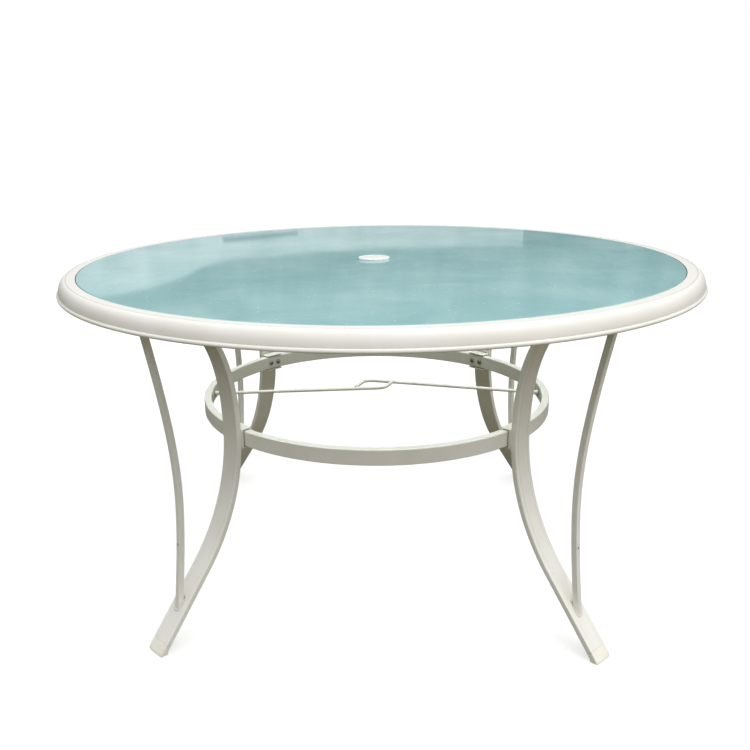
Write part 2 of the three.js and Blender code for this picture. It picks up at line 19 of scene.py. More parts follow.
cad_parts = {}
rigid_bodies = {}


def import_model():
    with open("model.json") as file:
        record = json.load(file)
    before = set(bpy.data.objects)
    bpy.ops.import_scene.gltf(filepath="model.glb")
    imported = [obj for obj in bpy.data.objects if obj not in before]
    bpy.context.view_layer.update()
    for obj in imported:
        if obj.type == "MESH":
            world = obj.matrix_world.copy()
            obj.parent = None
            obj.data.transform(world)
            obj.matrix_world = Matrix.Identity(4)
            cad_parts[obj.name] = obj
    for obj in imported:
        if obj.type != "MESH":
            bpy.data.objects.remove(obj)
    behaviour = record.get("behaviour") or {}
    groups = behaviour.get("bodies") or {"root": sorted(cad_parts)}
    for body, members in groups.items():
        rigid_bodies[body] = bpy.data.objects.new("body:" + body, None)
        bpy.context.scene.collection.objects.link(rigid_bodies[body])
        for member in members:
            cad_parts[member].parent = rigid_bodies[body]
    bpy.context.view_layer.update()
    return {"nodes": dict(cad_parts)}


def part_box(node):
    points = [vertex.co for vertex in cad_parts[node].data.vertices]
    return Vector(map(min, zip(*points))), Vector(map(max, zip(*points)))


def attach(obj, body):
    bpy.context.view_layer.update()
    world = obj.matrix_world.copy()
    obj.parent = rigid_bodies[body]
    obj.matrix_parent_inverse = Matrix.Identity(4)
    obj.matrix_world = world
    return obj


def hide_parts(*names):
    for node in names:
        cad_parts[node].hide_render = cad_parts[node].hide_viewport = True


Pair = tuple[float, float]
Triple = tuple[float, float, float]
Rgba = tuple[float, float, float, float]

LOG = logging.getLogger("patio_table")
METRES_PER_MM = 0.001
SHARP_ANGLE_DEG = 32.0
BEVEL_ANGLE_DEG = 30.0
BEVEL_SEGMENTS = 3
FLAT_FACE_WEIGHT = 50
MAP_SOCKETS = ("From Min", "From Max", "To Min", "To Max")
# The mix node's sockets go by number, because their names repeat.
MIX_SHARE, MIX_VALUE_A, MIX_VALUE_B, MIX_COLOUR_A, MIX_COLOUR_B = 0, 2, 3, 6, 7
MIX_COLOUR_OUT = 2
WHITE = (1.0, 1.0, 1.0)
UPRIGHT = np.array([0.0, 0.0, 1.0])
SIDEWAYS = np.array([0.0, 1.0, 0.0])


class Body(Enum):
    """The table's rigid bodies."""

    TABLE = "table"
    HOLE_CAP = "hole_cap"


class Slot(Enum):
    """The record's material slots."""

    FRAME_PAINT = "frame_paint"
    FROSTED_GLASS = "frosted_glass"
    GASKET_RUBBER = "gasket_rubber"
    FOOT_PLASTIC = "foot_plastic"
    CAP_PLASTIC = "cap_plastic"
    BOLT_STEEL = "bolt_steel"


class Corner(Enum):
    """The four legs, by the direction they stand in, in degrees from +X."""

    BACK_RIGHT = 45.0
    BACK_LEFT = 135.0
    FRONT_LEFT = 225.0
    FRONT_RIGHT = 315.0


def linear_colour(code: str) -> Rgba:
    """Turns an sRGB hex colour into Blender's linear colour.

    A channel up to 0.04045 is divided by 12.92. Above that, 0.055 is added, the sum is divided by 1.055 and the
    result raised to the power of 2.4.

    Args:
        code: six hex digits with or without a leading #.

    Returns:
        Red, green, blue and an alpha of one.
    """
    digits = code.lstrip("#")
    values = np.array([int(digits[i : i + 2], 16) for i in (0, 2, 4)]) / 255.0
    low = values / 12.92
    high = ((values + 0.055) / 1.055) ** 2.4
    red, green, blue = np.where(values <= 0.04045, low, high)
    return float(red), float(green), float(blue), 1.0


def per_metre(size_mm: float) -> float:
    """Turns a feature's real size into a texture scale on Object coordinates, which are in metres."""
    return 1.0 / (size_mm * METRES_PER_MM)


@dataclass
class NodeTree:
    """A node tree that grows one node at a time."""

    tree: bpy.types.NodeTree

    def add(
        self,
        kind: str,
        links: dict | None = None,
        values: dict | None = None,
        stops: tuple = (),
        **settings,
    ) -> bpy.types.Node:
        """Adds a node with its settings, socket values, incoming links and, on a colour ramp, its stops.

        Args:
            kind: the node's Blender type.
            links: input socket name or index to the output socket that feeds it.
            values: input socket name or index to a plain value.
            stops: places from 0 to 1 with their linear colours.
            settings: attributes of the node itself.

        Returns:
            The new node.
        """
        node = self.tree.nodes.new(kind)
        for name, value in settings.items():
            setattr(node, name, value)
        for key, value in (values or {}).items():
            node.inputs[key].default_value = value
        for key, socket in (links or {}).items():
            self.tree.links.new(socket, node.inputs[key])
        for _ in stops[2:]:
            node.color_ramp.elements.new(0.5)
        for number, (place, colour) in enumerate(stops):
            node.color_ramp.elements[number].position = place
            node.color_ramp.elements[number].color = colour
        return node


def new_material(name: str) -> tuple[bpy.types.Material, NodeTree]:
    """Makes an empty node material.

    Args:
        name: the material's name.

    Returns:
        The material and its node tree.
    """
    material = bpy.data.materials.new(name)
    material.use_nodes = True
    material.node_tree.nodes.clear()
    return material, NodeTree(material.node_tree)


@dataclass(frozen=True)
class PowderCoat:
    """Polyester powder coat on steel tube, sprayed and baked: a soft gloss with a fine orange peel.

    The eye sees a warm off-white, small waves in the gloss and faint cloudy dust. Joints, grooves and corners that
    ambient occlusion finds get painted shade in grey-brown, partly standing for grime.
    """

    name: str = "powder_coat"
    clean: str = "#FCFAF5"
    dusty: str = "#F4F0E8"
    # Grey-brown painted shade for joints, grooves and corners, partly standing for grime.
    shade_and_grime: str = "#6F6656"
    roughness: float = 0.34
    ior: float = 1.5
    orange_peel_mm: float = 1.6
    peel_height_mm: float = 0.02
    peel_strength: float = 0.35
    dust_patch_mm: float = 90.0
    clean_place: float = 0.35
    dusty_place: float = 0.8
    # How far the painted shade reaches from a neighbouring surface, and how strongly it darkens the coat.
    shade_reach_mm: float = 5.0
    shade_share: float = 0.85
    tight_corner: float = 0.1
    open_face: float = 0.92
    gloss_gain: float = 0.05
    gloss_loss: float = 0.1

    def build(self) -> bpy.types.Material:
        """Builds the material.

        Returns:
            The material.
        """
        material, nodes = new_material(self.name)
        place = nodes.add("ShaderNodeTexCoord").outputs["Object"]
        patches = nodes.add(
            "ShaderNodeTexNoise",
            {"Vector": place},
            {"Scale": per_metre(self.dust_patch_mm), "Detail": 5.0, "Roughness": 0.6},
        )
        coat = nodes.add(
            "ShaderNodeValToRGB",
            {"Fac": patches.outputs["Fac"]},
            stops=((self.clean_place, linear_colour(self.clean)), (self.dusty_place, linear_colour(self.dusty))),
        )
        # Painted shade: ambient occlusion darkens the coat towards the grey-brown in joints, grooves and corners.
        corners = nodes.add(
            "ShaderNodeAmbientOcclusion",
            values={"Distance": self.shade_reach_mm * METRES_PER_MM},
            samples=6,
        )
        shade_and_grime = nodes.add(
            "ShaderNodeMapRange",
            {"Value": corners.outputs["AO"]},
            {"From Min": self.tight_corner, "From Max": self.open_face, "To Min": self.shade_share, "To Max": 0.0},
        )
        colour = nodes.add(
            "ShaderNodeMix",
            {MIX_SHARE: shade_and_grime.outputs["Result"], MIX_COLOUR_A: coat.outputs["Color"]},
            {MIX_COLOUR_B: linear_colour(self.shade_and_grime)},
            data_type="RGBA",
        )
        peel = nodes.add(
            "ShaderNodeTexNoise",
            {"Vector": place},
            {"Scale": per_metre(self.orange_peel_mm), "Detail": 2.0, "Roughness": 0.45},
        )
        bump = nodes.add(
            "ShaderNodeBump",
            {"Height": peel.outputs["Fac"]},
            {"Strength": self.peel_strength, "Distance": self.peel_height_mm * METRES_PER_MM},
        )
        gloss = nodes.add(
            "ShaderNodeMapRange",
            {"Value": patches.outputs["Fac"]},
            {"To Min": self.roughness - self.gloss_gain, "To Max": self.roughness + self.gloss_loss},
        )
        shader = nodes.add(
            "ShaderNodeBsdfPrincipled",
            {
                "Base Color": colour.outputs[MIX_COLOUR_OUT],
                "Roughness": gloss.outputs["Result"],
                "Normal": bump.outputs["Normal"],
            },
            {"IOR": self.ior},
        )
        nodes.add("ShaderNodeOutputMaterial", {"Surface": shader.outputs[0]})
        return material


@dataclass(frozen=True)
class FrostedGlass:
    """Tempered glass, back-coated in aqua enamel and rolled with a fine pebble.

    The eye sees an opaque blue-green with cloudy patches, rain streaks and a clear surface gloss. Bright specks on
    chosen pebbles are painted highlights, glints mixed into the colour. The pebble is drawn coarser than it is, so that
    single specks show.
    """

    name: str = "frosted_glass"
    deep: str = "#A3D0D2"
    middle: str = "#AFD9DA"
    light: str = "#BCE2E3"
    # Near-white painted highlight of the glints on chosen pebbles.
    painted_glint: str = "#F6FCFC"
    roughness: float = 0.05
    ior: float = 1.52
    cloud_mm: float = 170.0
    cloud_places: Triple = (0.32, 0.5, 0.68)
    streak_mm: float = 9.0
    streak_squeeze: float = 0.06
    streak_share: float = 0.1
    pebble_mm: float = 8.0
    pebble_height_mm: float = 0.02
    pebble_strength: float = 0.25
    plain_share: float = 0.8
    glint_core: float = 0.13
    glint_edge: float = 0.25

    def build(self) -> bpy.types.Material:
        """Builds the material.

        Returns:
            The material.
        """
        material, nodes = new_material(self.name)
        place = nodes.add("ShaderNodeTexCoord").outputs["Object"]
        clouds = nodes.add(
            "ShaderNodeTexNoise",
            {"Vector": place},
            {"Scale": per_metre(self.cloud_mm), "Detail": 6.0, "Roughness": 0.62, "Distortion": 0.4},
        )
        along = nodes.add("ShaderNodeMapping", {"Vector": place}, {"Scale": (1.0, self.streak_squeeze, 1.0)})
        streaks = nodes.add(
            "ShaderNodeTexNoise",
            {"Vector": along.outputs["Vector"]},
            {"Scale": per_metre(self.streak_mm), "Detail": 3.0},
        )
        mixed = nodes.add(
            "ShaderNodeMix",
            {MIX_VALUE_A: clouds.outputs["Fac"], MIX_VALUE_B: streaks.outputs["Fac"]},
            {MIX_SHARE: self.streak_share},
            data_type="FLOAT",
        )
        shades = (linear_colour(self.deep), linear_colour(self.middle), linear_colour(self.light))
        body = nodes.add("ShaderNodeValToRGB", {"Fac": mixed.outputs[0]}, stops=tuple(zip(self.cloud_places, shades)))
        pebbles = nodes.add(
            "ShaderNodeTexVoronoi",
            {"Vector": place},
            {"Scale": per_metre(self.pebble_mm), "Randomness": 1.0},
            feature="F1",
        )
        # Painted highlight: small bright glints on chosen pebbles, mixed into the base colour.
        glints = nodes.add(
            "ShaderNodeMapRange",
            {"Value": pebbles.outputs["Distance"]},
            {"From Min": self.glint_core, "From Max": self.glint_edge, "To Min": 1.0, "To Max": 0.0},
        )
        chosen = nodes.add(
            "ShaderNodeMath",
            {0: pebbles.outputs["Color"]},
            {1: self.plain_share},
            operation="GREATER_THAN",
        )
        glint = nodes.add(
            "ShaderNodeMath",
            {0: glints.outputs["Result"], 1: chosen.outputs[0]},
            operation="MULTIPLY",
        )
        colour = nodes.add(
            "ShaderNodeMix",
            {MIX_SHARE: glint.outputs[0], MIX_COLOUR_A: body.outputs["Color"]},
            {MIX_COLOUR_B: linear_colour(self.painted_glint)},
            data_type="RGBA",
        )
        bump = nodes.add(
            "ShaderNodeBump",
            {"Height": pebbles.outputs["Distance"]},
            {"Strength": self.pebble_strength, "Distance": self.pebble_height_mm * METRES_PER_MM},
        )
        shader = nodes.add(
            "ShaderNodeBsdfPrincipled",
            {"Base Color": colour.outputs[MIX_COLOUR_OUT], "Normal": bump.outputs["Normal"]},
            {"IOR": self.ior, "Roughness": self.roughness},
        )
        nodes.add("ShaderNodeOutputMaterial", {"Surface": shader.outputs[0]})
        return material


@dataclass(frozen=True)
class MouldedPlastic:
    """Moulded plastic, polypropylene or vinyl: an even colour with a fine spark-eroded grain and a soft sheen."""

    name: str
    light: str
    dark: str
    roughness: float
    ior: float = 1.49
    grain_mm: float = 0.9
    grain_height_mm: float = 0.02
    grain_strength: float = 0.3
    patch_mm: float = 25.0
    light_place: float = 0.3
    dark_place: float = 0.8

    def build(self) -> bpy.types.Material:
        """Builds the material.

        Returns:
            The material.
        """
        material, nodes = new_material(self.name)
        place = nodes.add("ShaderNodeTexCoord").outputs["Object"]
        patches = nodes.add(
            "ShaderNodeTexNoise",
            {"Vector": place},
            {"Scale": per_metre(self.patch_mm), "Detail": 4.0},
        )
        colour = nodes.add(
            "ShaderNodeValToRGB",
            {"Fac": patches.outputs["Fac"]},
            stops=((self.light_place, linear_colour(self.light)), (self.dark_place, linear_colour(self.dark))),
        )
        grain = nodes.add(
            "ShaderNodeTexNoise",
            {"Vector": place},
            {"Scale": per_metre(self.grain_mm), "Detail": 2.0},
        )
        bump = nodes.add(
            "ShaderNodeBump",
            {"Height": grain.outputs["Fac"]},
            {"Strength": self.grain_strength, "Distance": self.grain_height_mm * METRES_PER_MM},
        )
        shader = nodes.add(
            "ShaderNodeBsdfPrincipled",
            {"Base Color": colour.outputs["Color"], "Normal": bump.outputs["Normal"]},
            {"Roughness": self.roughness, "IOR": self.ior},
        )
        nodes.add("ShaderNodeOutputMaterial", {"Surface": shader.outputs[0]})
        return material


@dataclass(frozen=True)
class ZincSteel:
    """Zinc-plated steel of cold-headed screws: bright, with darker and duller patches."""

    name: str = "zinc_steel"
    bright: str = "#D2D0CA"
    dull: str = "#5A574E"
    patch_mm: float = 3.0
    bright_place: float = 0.3
    dull_place: float = 0.8
    low_roughness: float = 0.04
    high_roughness: float = 0.2

    def build(self) -> bpy.types.Material:
        """Builds the material.

        Returns:
            The material.
        """
        material, nodes = new_material(self.name)
        place = nodes.add("ShaderNodeTexCoord").outputs["Object"]
        patches = nodes.add(
            "ShaderNodeTexNoise",
            {"Vector": place},
            {"Scale": per_metre(self.patch_mm), "Detail": 5.0},
        )
        colour = nodes.add(
            "ShaderNodeValToRGB",
            {"Fac": patches.outputs["Fac"]},
            stops=((self.bright_place, linear_colour(self.bright)), (self.dull_place, linear_colour(self.dull))),
        )
        gloss = nodes.add(
            "ShaderNodeMapRange",
            {"Value": patches.outputs["Fac"]},
            {"To Min": self.low_roughness, "To Max": self.high_roughness},
        )
        shader = nodes.add(
            "ShaderNodeBsdfPrincipled",
            {"Base Color": colour.outputs["Color"], "Roughness": gloss.outputs["Result"]},
            {"Metallic": 1.0},
        )
        nodes.add("ShaderNodeOutputMaterial", {"Surface": shader.outputs[0]})
        return material


@dataclass
class Palette:
    """Every finish of the table, made once."""

    paint: bpy.types.Material
    glass: bpy.types.Material
    gasket: bpy.types.Material
    foot: bpy.types.Material
    cap: bpy.types.Material
    steel: bpy.types.Material

    @classmethod
    def mixed(cls) -> Palette:
        """Builds the finishes.

        Returns:
            The palette.
        """
        return cls(
            paint=PowderCoat().build(),
            glass=FrostedGlass().build(),
            gasket=MouldedPlastic("vinyl_gasket", "#8E8F88", "#77786F", roughness=0.7, patch_mm=60.0).build(),
            foot=MouldedPlastic("foot_polypropylene", "#FEFBF2", "#F7F2E5", roughness=0.5).build(),
            cap=MouldedPlastic("cap_polypropylene", "#FEFEFD", "#F9F9F6", roughness=0.32).build(),
            steel=ZincSteel().build(),
        )


@dataclass
class Surface:
    """Points in millimetres with the faces between them."""

    points: np.ndarray
    faces: list = field(default_factory=list)

    def turned_to(self, degrees: float) -> Surface:
        """Returns the surface turned about the vertical axis.

        Args:
            degrees: the angle from +X.

        Returns:
            A new surface with the same faces.
        """
        angle = math.radians(degrees)
        cosine, sine = math.cos(angle), math.sin(angle)
        turn = np.array([[cosine, -sine, 0.0], [sine, cosine, 0.0], [0.0, 0.0, 1.0]])
        return Surface(self.points @ turn.T, self.faces)

    def joined(self, other: Surface) -> Surface:
        """Joins this surface and another one without merging points.

        Args:
            other: the other surface.

        Returns:
            One surface with the points and faces of both.
        """
        shift = len(self.points)
        moved = [[i + shift for i in face] for face in other.faces]
        return Surface(np.concatenate([self.points, other.points]), list(self.faces) + moved)

    def volume(self) -> float:
        """Adds up the signed tetrahedra between the origin and each face's fan of triangles.

        Returns:
            The volume, positive where the faces point out.
        """
        total = 0.0
        by_size: dict[int, list] = {}
        for face in self.faces:
            by_size.setdefault(len(face), []).append(face)
        for size, faces in by_size.items():
            corners = self.points[np.array(faces)]
            for k in range(1, size - 1):
                cross = np.cross(corners[:, k], corners[:, k + 1])
                total += float(np.einsum("ij,ij->", corners[:, 0], cross))
        return total / 6.0

    def as_object(self, name: str) -> bpy.types.Object:
        """Makes a Blender object at the origin with its faces pointing out and its creases sharp.

        Args:
            name: the piece's name.

        Returns:
            The new object, linked to the scene.
        """
        faces = [list(face) for face in self.faces]
        if self.volume() < 0:
            faces = [face[::-1] for face in faces]
        mesh = bpy.data.meshes.new(name)
        mesh.from_pydata((self.points * METRES_PER_MM).tolist(), [], faces)
        mesh.validate()
        mesh.shade_smooth()
        mesh.set_sharp_from_angle(angle=math.radians(SHARP_ANGLE_DEG))
        piece = bpy.data.objects.new(name, mesh)
        bpy.context.scene.collection.objects.link(piece)
        flats = piece.modifiers.new("true_flats", "WEIGHTED_NORMAL")
        flats.mode = "FACE_AREA"
        flats.weight = FLAT_FACE_WEIGHT
        flats.keep_sharp = True
        return piece


def grid_faces(rows: int, columns: int, close_rows: bool, close_columns: bool) -> list:
    """Faces of a grid of points stored row by row.

    Args:
        rows: the number of rows.
        columns: the number of points in a row.
        close_rows: whether the last row joins the first.
        close_columns: whether each row's last point joins its first.

    Returns:
        Four point numbers for each face.
    """
    row = np.arange(rows if close_rows else rows - 1)
    column = np.arange(columns if close_columns else columns - 1)
    here, across = np.meshgrid(row, column, indexing="ij")
    below = (here + 1) % rows
    beside = (across + 1) % columns
    upper, lower = here * columns, below * columns
    quads = np.stack([upper + across, upper + beside, lower + beside, lower + across], -1)
    return quads.reshape(-1, 4).tolist()


def closed_ends(rows: int, columns: int) -> list:
    """Faces of a grid whose rows are rings, with one face over the first ring and one over the last.

    Args:
        rows: the number of rings.
        columns: the number of points in a ring.

    Returns:
        The point numbers of each face.
    """
    last = (rows - 1) * columns
    ends = [list(range(columns))[::-1], list(range(last, last + columns))]
    return grid_faces(rows, columns, False, True) + ends


def arc(
    centre: Pair, radii: Pair, degrees: Pair, count: int
) -> np.ndarray:
    """Points on an ellipse with level axes: the centre plus each radius times the cosine or sine of the angle.

    Args:
        centre: the ellipse's centre.
        radii: its half width and half height.
        degrees: the first and last angle.
        count: how many points, both ends included.

    Returns:
        An array of points.
    """
    angle = np.radians(np.linspace(*degrees, count))
    return np.stack([centre[0] + radii[0] * np.cos(angle), centre[1] + radii[1] * np.sin(angle)], -1)


def rounded_box(low: Pair, high: Pair, radius: float, count: int = 5) -> np.ndarray:
    """Outline of a rectangle with round corners, made of four quarter circles.

    Args:
        low: the lowest corner.
        high: the highest corner.
        radius: the corner radius.
        count: the points on each corner.

    Returns:
        The outline's points, anticlockwise, not repeated at the end.
    """
    (x0, y0), (x1, y1) = low, high
    both = (radius, radius)
    return np.concatenate(
        [
            arc((x1 - radius, y0 + radius), both, (-90, 0), count),
            arc((x1 - radius, y1 - radius), both, (0, 90), count),
            arc((x0 + radius, y1 - radius), both, (90, 180), count),
            arc((x0 + radius, y0 + radius), both, (180, 270), count),
        ]
    )


def revolved(profile: np.ndarray, segments: int) -> Surface:
    """Turns a closed profile of radius and height about the Z axis.

    Each point of the grid is (radius times cosine, radius times sine, height) at its angle.

    Args:
        profile: the closed outline, not repeated at the end.
        segments: how many steps make the full turn.

    Returns:
        A closed surface.
    """
    angle = np.linspace(0.0, 2.0 * math.pi, segments, endpoint=False)[:, None]
    radius, height = profile[:, 0][None, :], profile[:, 1][None, :]
    points = np.stack([radius * np.cos(angle), radius * np.sin(angle), height + 0.0 * angle], -1)
    return Surface(points.reshape(-1, 3), grid_faces(segments, len(profile), True, True))


def domed(profile: np.ndarray, segments: int) -> Surface:
    """Turns an open profile that starts and ends near the Z axis, and closes both poles with one face each.

    Args:
        profile: radius and height from the top pole to the bottom pole, no radius being zero.
        segments: how many steps make the full turn.

    Returns:
        A closed surface.
    """
    angle = np.linspace(0.0, 2.0 * math.pi, segments, endpoint=False)[None, :]
    radius, height = profile[:, 0][:, None], profile[:, 1][:, None]
    points = np.stack([radius * np.cos(angle), radius * np.sin(angle), height + 0.0 * angle], -1)
    return Surface(points.reshape(-1, 3), closed_ends(len(profile), segments))


def swept(section: np.ndarray, line: np.ndarray, tangents: np.ndarray) -> Surface:
    """Carries a closed section along a line in the XZ plane, square to it, and closes both ends.

    A section point (across, out) lies at the line's point, plus across along Y, plus out along the line's outer
    normal, which is the tangent turned a quarter turn: (tz, -tx).

    Args:
        section: the closed outline as (across, out).
        line: radius and height of each station.
        tangents: the unit tangents at the stations.

    Returns:
        A closed surface.
    """
    normal = np.stack([tangents[:, 1], -tangents[:, 0]], -1)
    across, out = section[:, 0], section[:, 1]
    points = np.stack(
        [
            line[:, 0][:, None] + normal[:, 0][:, None] * out[None, :],
            np.broadcast_to(across[None, :], (len(line), len(section))),
            line[:, 1][:, None] + normal[:, 1][:, None] * out[None, :],
        ],
        -1,
    )
    return Surface(points.reshape(-1, 3), closed_ends(len(line), len(section)))


def tube(centre: np.ndarray, radius: np.ndarray, up: np.ndarray, sides: int, closed: bool) -> Surface:
    """Round tube of changing radius along a line in space.

    A ring lies at each station in the plane of two directions that are square to the line: the given one with its
    part along the tangent taken out, and the cross product of both.

    Args:
        centre: the stations.
        radius: the tube's radius at each station.
        up: one direction, or one for each station, that is never along the line.
        sides: the points in a ring.
        closed: whether the line closes on itself.

    Returns:
        A closed surface.
    """
    if closed:
        tangent = np.roll(centre, -1, 0) - np.roll(centre, 1, 0)
    else:
        tangent = np.gradient(centre, axis=0)
    tangent = tangent / np.linalg.norm(tangent, axis=1, keepdims=True)
    lift = np.broadcast_to(up, centre.shape)
    lift = lift - (lift * tangent).sum(1, keepdims=True) * tangent
    lift = lift / np.linalg.norm(lift, axis=1, keepdims=True)
    side = np.cross(tangent, lift)
    angle = np.linspace(0.0, 2.0 * math.pi, sides, endpoint=False)[None, :, None]
    ring = np.cos(angle) * lift[:, None, :] + np.sin(angle) * side[:, None, :]
    points = centre[:, None, :] + radius[:, None, None] * ring
    faces = grid_faces(len(centre), sides, True, True) if closed else closed_ends(len(centre), sides)
    return Surface(points.reshape(-1, 3), faces)


def bezier(controls: np.ndarray, count: int) -> tuple[np.ndarray, np.ndarray]:
    """Points and unit tangents of a cubic curve, from its Bernstein form.

    Args:
        controls: four control points.
        count: the number of stations.

    Returns:
        The points and the tangents.
    """
    t = np.linspace(0.0, 1.0, count)[:, None]
    a, b, c, d = controls
    points = (1 - t) ** 3 * a + 3 * (1 - t) ** 2 * t * b + 3 * (1 - t) * t**2 * c + t**3 * d
    slope = 3 * (1 - t) ** 2 * (b - a) + 6 * (1 - t) * t * (c - b) + 3 * t**2 * (d - c)
    return points, slope / np.linalg.norm(slope, axis=1, keepdims=True)


def heights_and_reach(node: str) -> Triple:
    """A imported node's lowest height, highest height and largest X, in millimetres."""
    low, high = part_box(node)
    return low.z / METRES_PER_MM, high.z / METRES_PER_MM, high.x / METRES_PER_MM


def packed_points(node: str) -> np.ndarray:
    """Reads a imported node's points.

    Args:
        node: the node's name.

    Returns:
        Its points in millimetres.
    """
    data = bpy.data.objects[node].data
    flat = np.zeros(len(data.vertices) * 3)
    data.vertices.foreach_get("co", flat)
    return flat.reshape(-1, 3) / METRES_PER_MM


def ring_radii(node: str) -> Pair:
    """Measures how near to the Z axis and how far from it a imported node's points lie.

    Args:
        node: the node's name.

    Returns:
        The least and the greatest distance, in millimetres.
    """
    points = packed_points(node)
    spread = np.hypot(points[:, 0], points[:, 1])
    return float(spread.min()), float(spread.max())


@dataclass
class Workshop:
    """Turns surfaces into finished pieces that ride on the table's bodies."""

    palette: Palette
    nodes: dict
    made: int = 0

    def finish(
        self,
        surface: Surface,
        name: str,
        material: bpy.types.Material,
        body: Body = Body.TABLE,
        stands_for: tuple[str, ...] = (),
        bevel_mm: float = 0.0,
    ) -> bpy.types.Object:
        """Makes a piece, gives it its finish and puts it on its body.

        Args:
            surface: the shape.
            name: the piece's name.
            material: the finish.
            body: the body that carries the piece.
            stands_for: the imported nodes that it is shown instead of.
            bevel_mm: how far its sharp edges are rounded.

        Returns:
            The new object.
        """
        piece = surface.as_object(name)
        piece.data.materials.append(material)
        if bevel_mm:
            bevel = piece.modifiers.new("round_edges", "BEVEL")
            bevel.width = bevel_mm * METRES_PER_MM
            bevel.segments = BEVEL_SEGMENTS
            bevel.limit_method = "ANGLE"
            bevel.angle_limit = math.radians(BEVEL_ANGLE_DEG)
            bevel.harden_normals = False
        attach(piece, body.value)
        if stands_for:
            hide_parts(*stands_for)
        self.made += 1
        LOG.info("%s: %d faces", name, len(piece.data.polygons))
        return piece

    def repaint(self, node: str, material: bpy.types.Material) -> None:
        """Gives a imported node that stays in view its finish.

        Args:
            node: the node's name.
            material: the finish.
        """
        data = self.nodes[node].data
        data.materials.clear()
        data.materials.append(material)
        LOG.info("%s: finish %s", node, material.name)


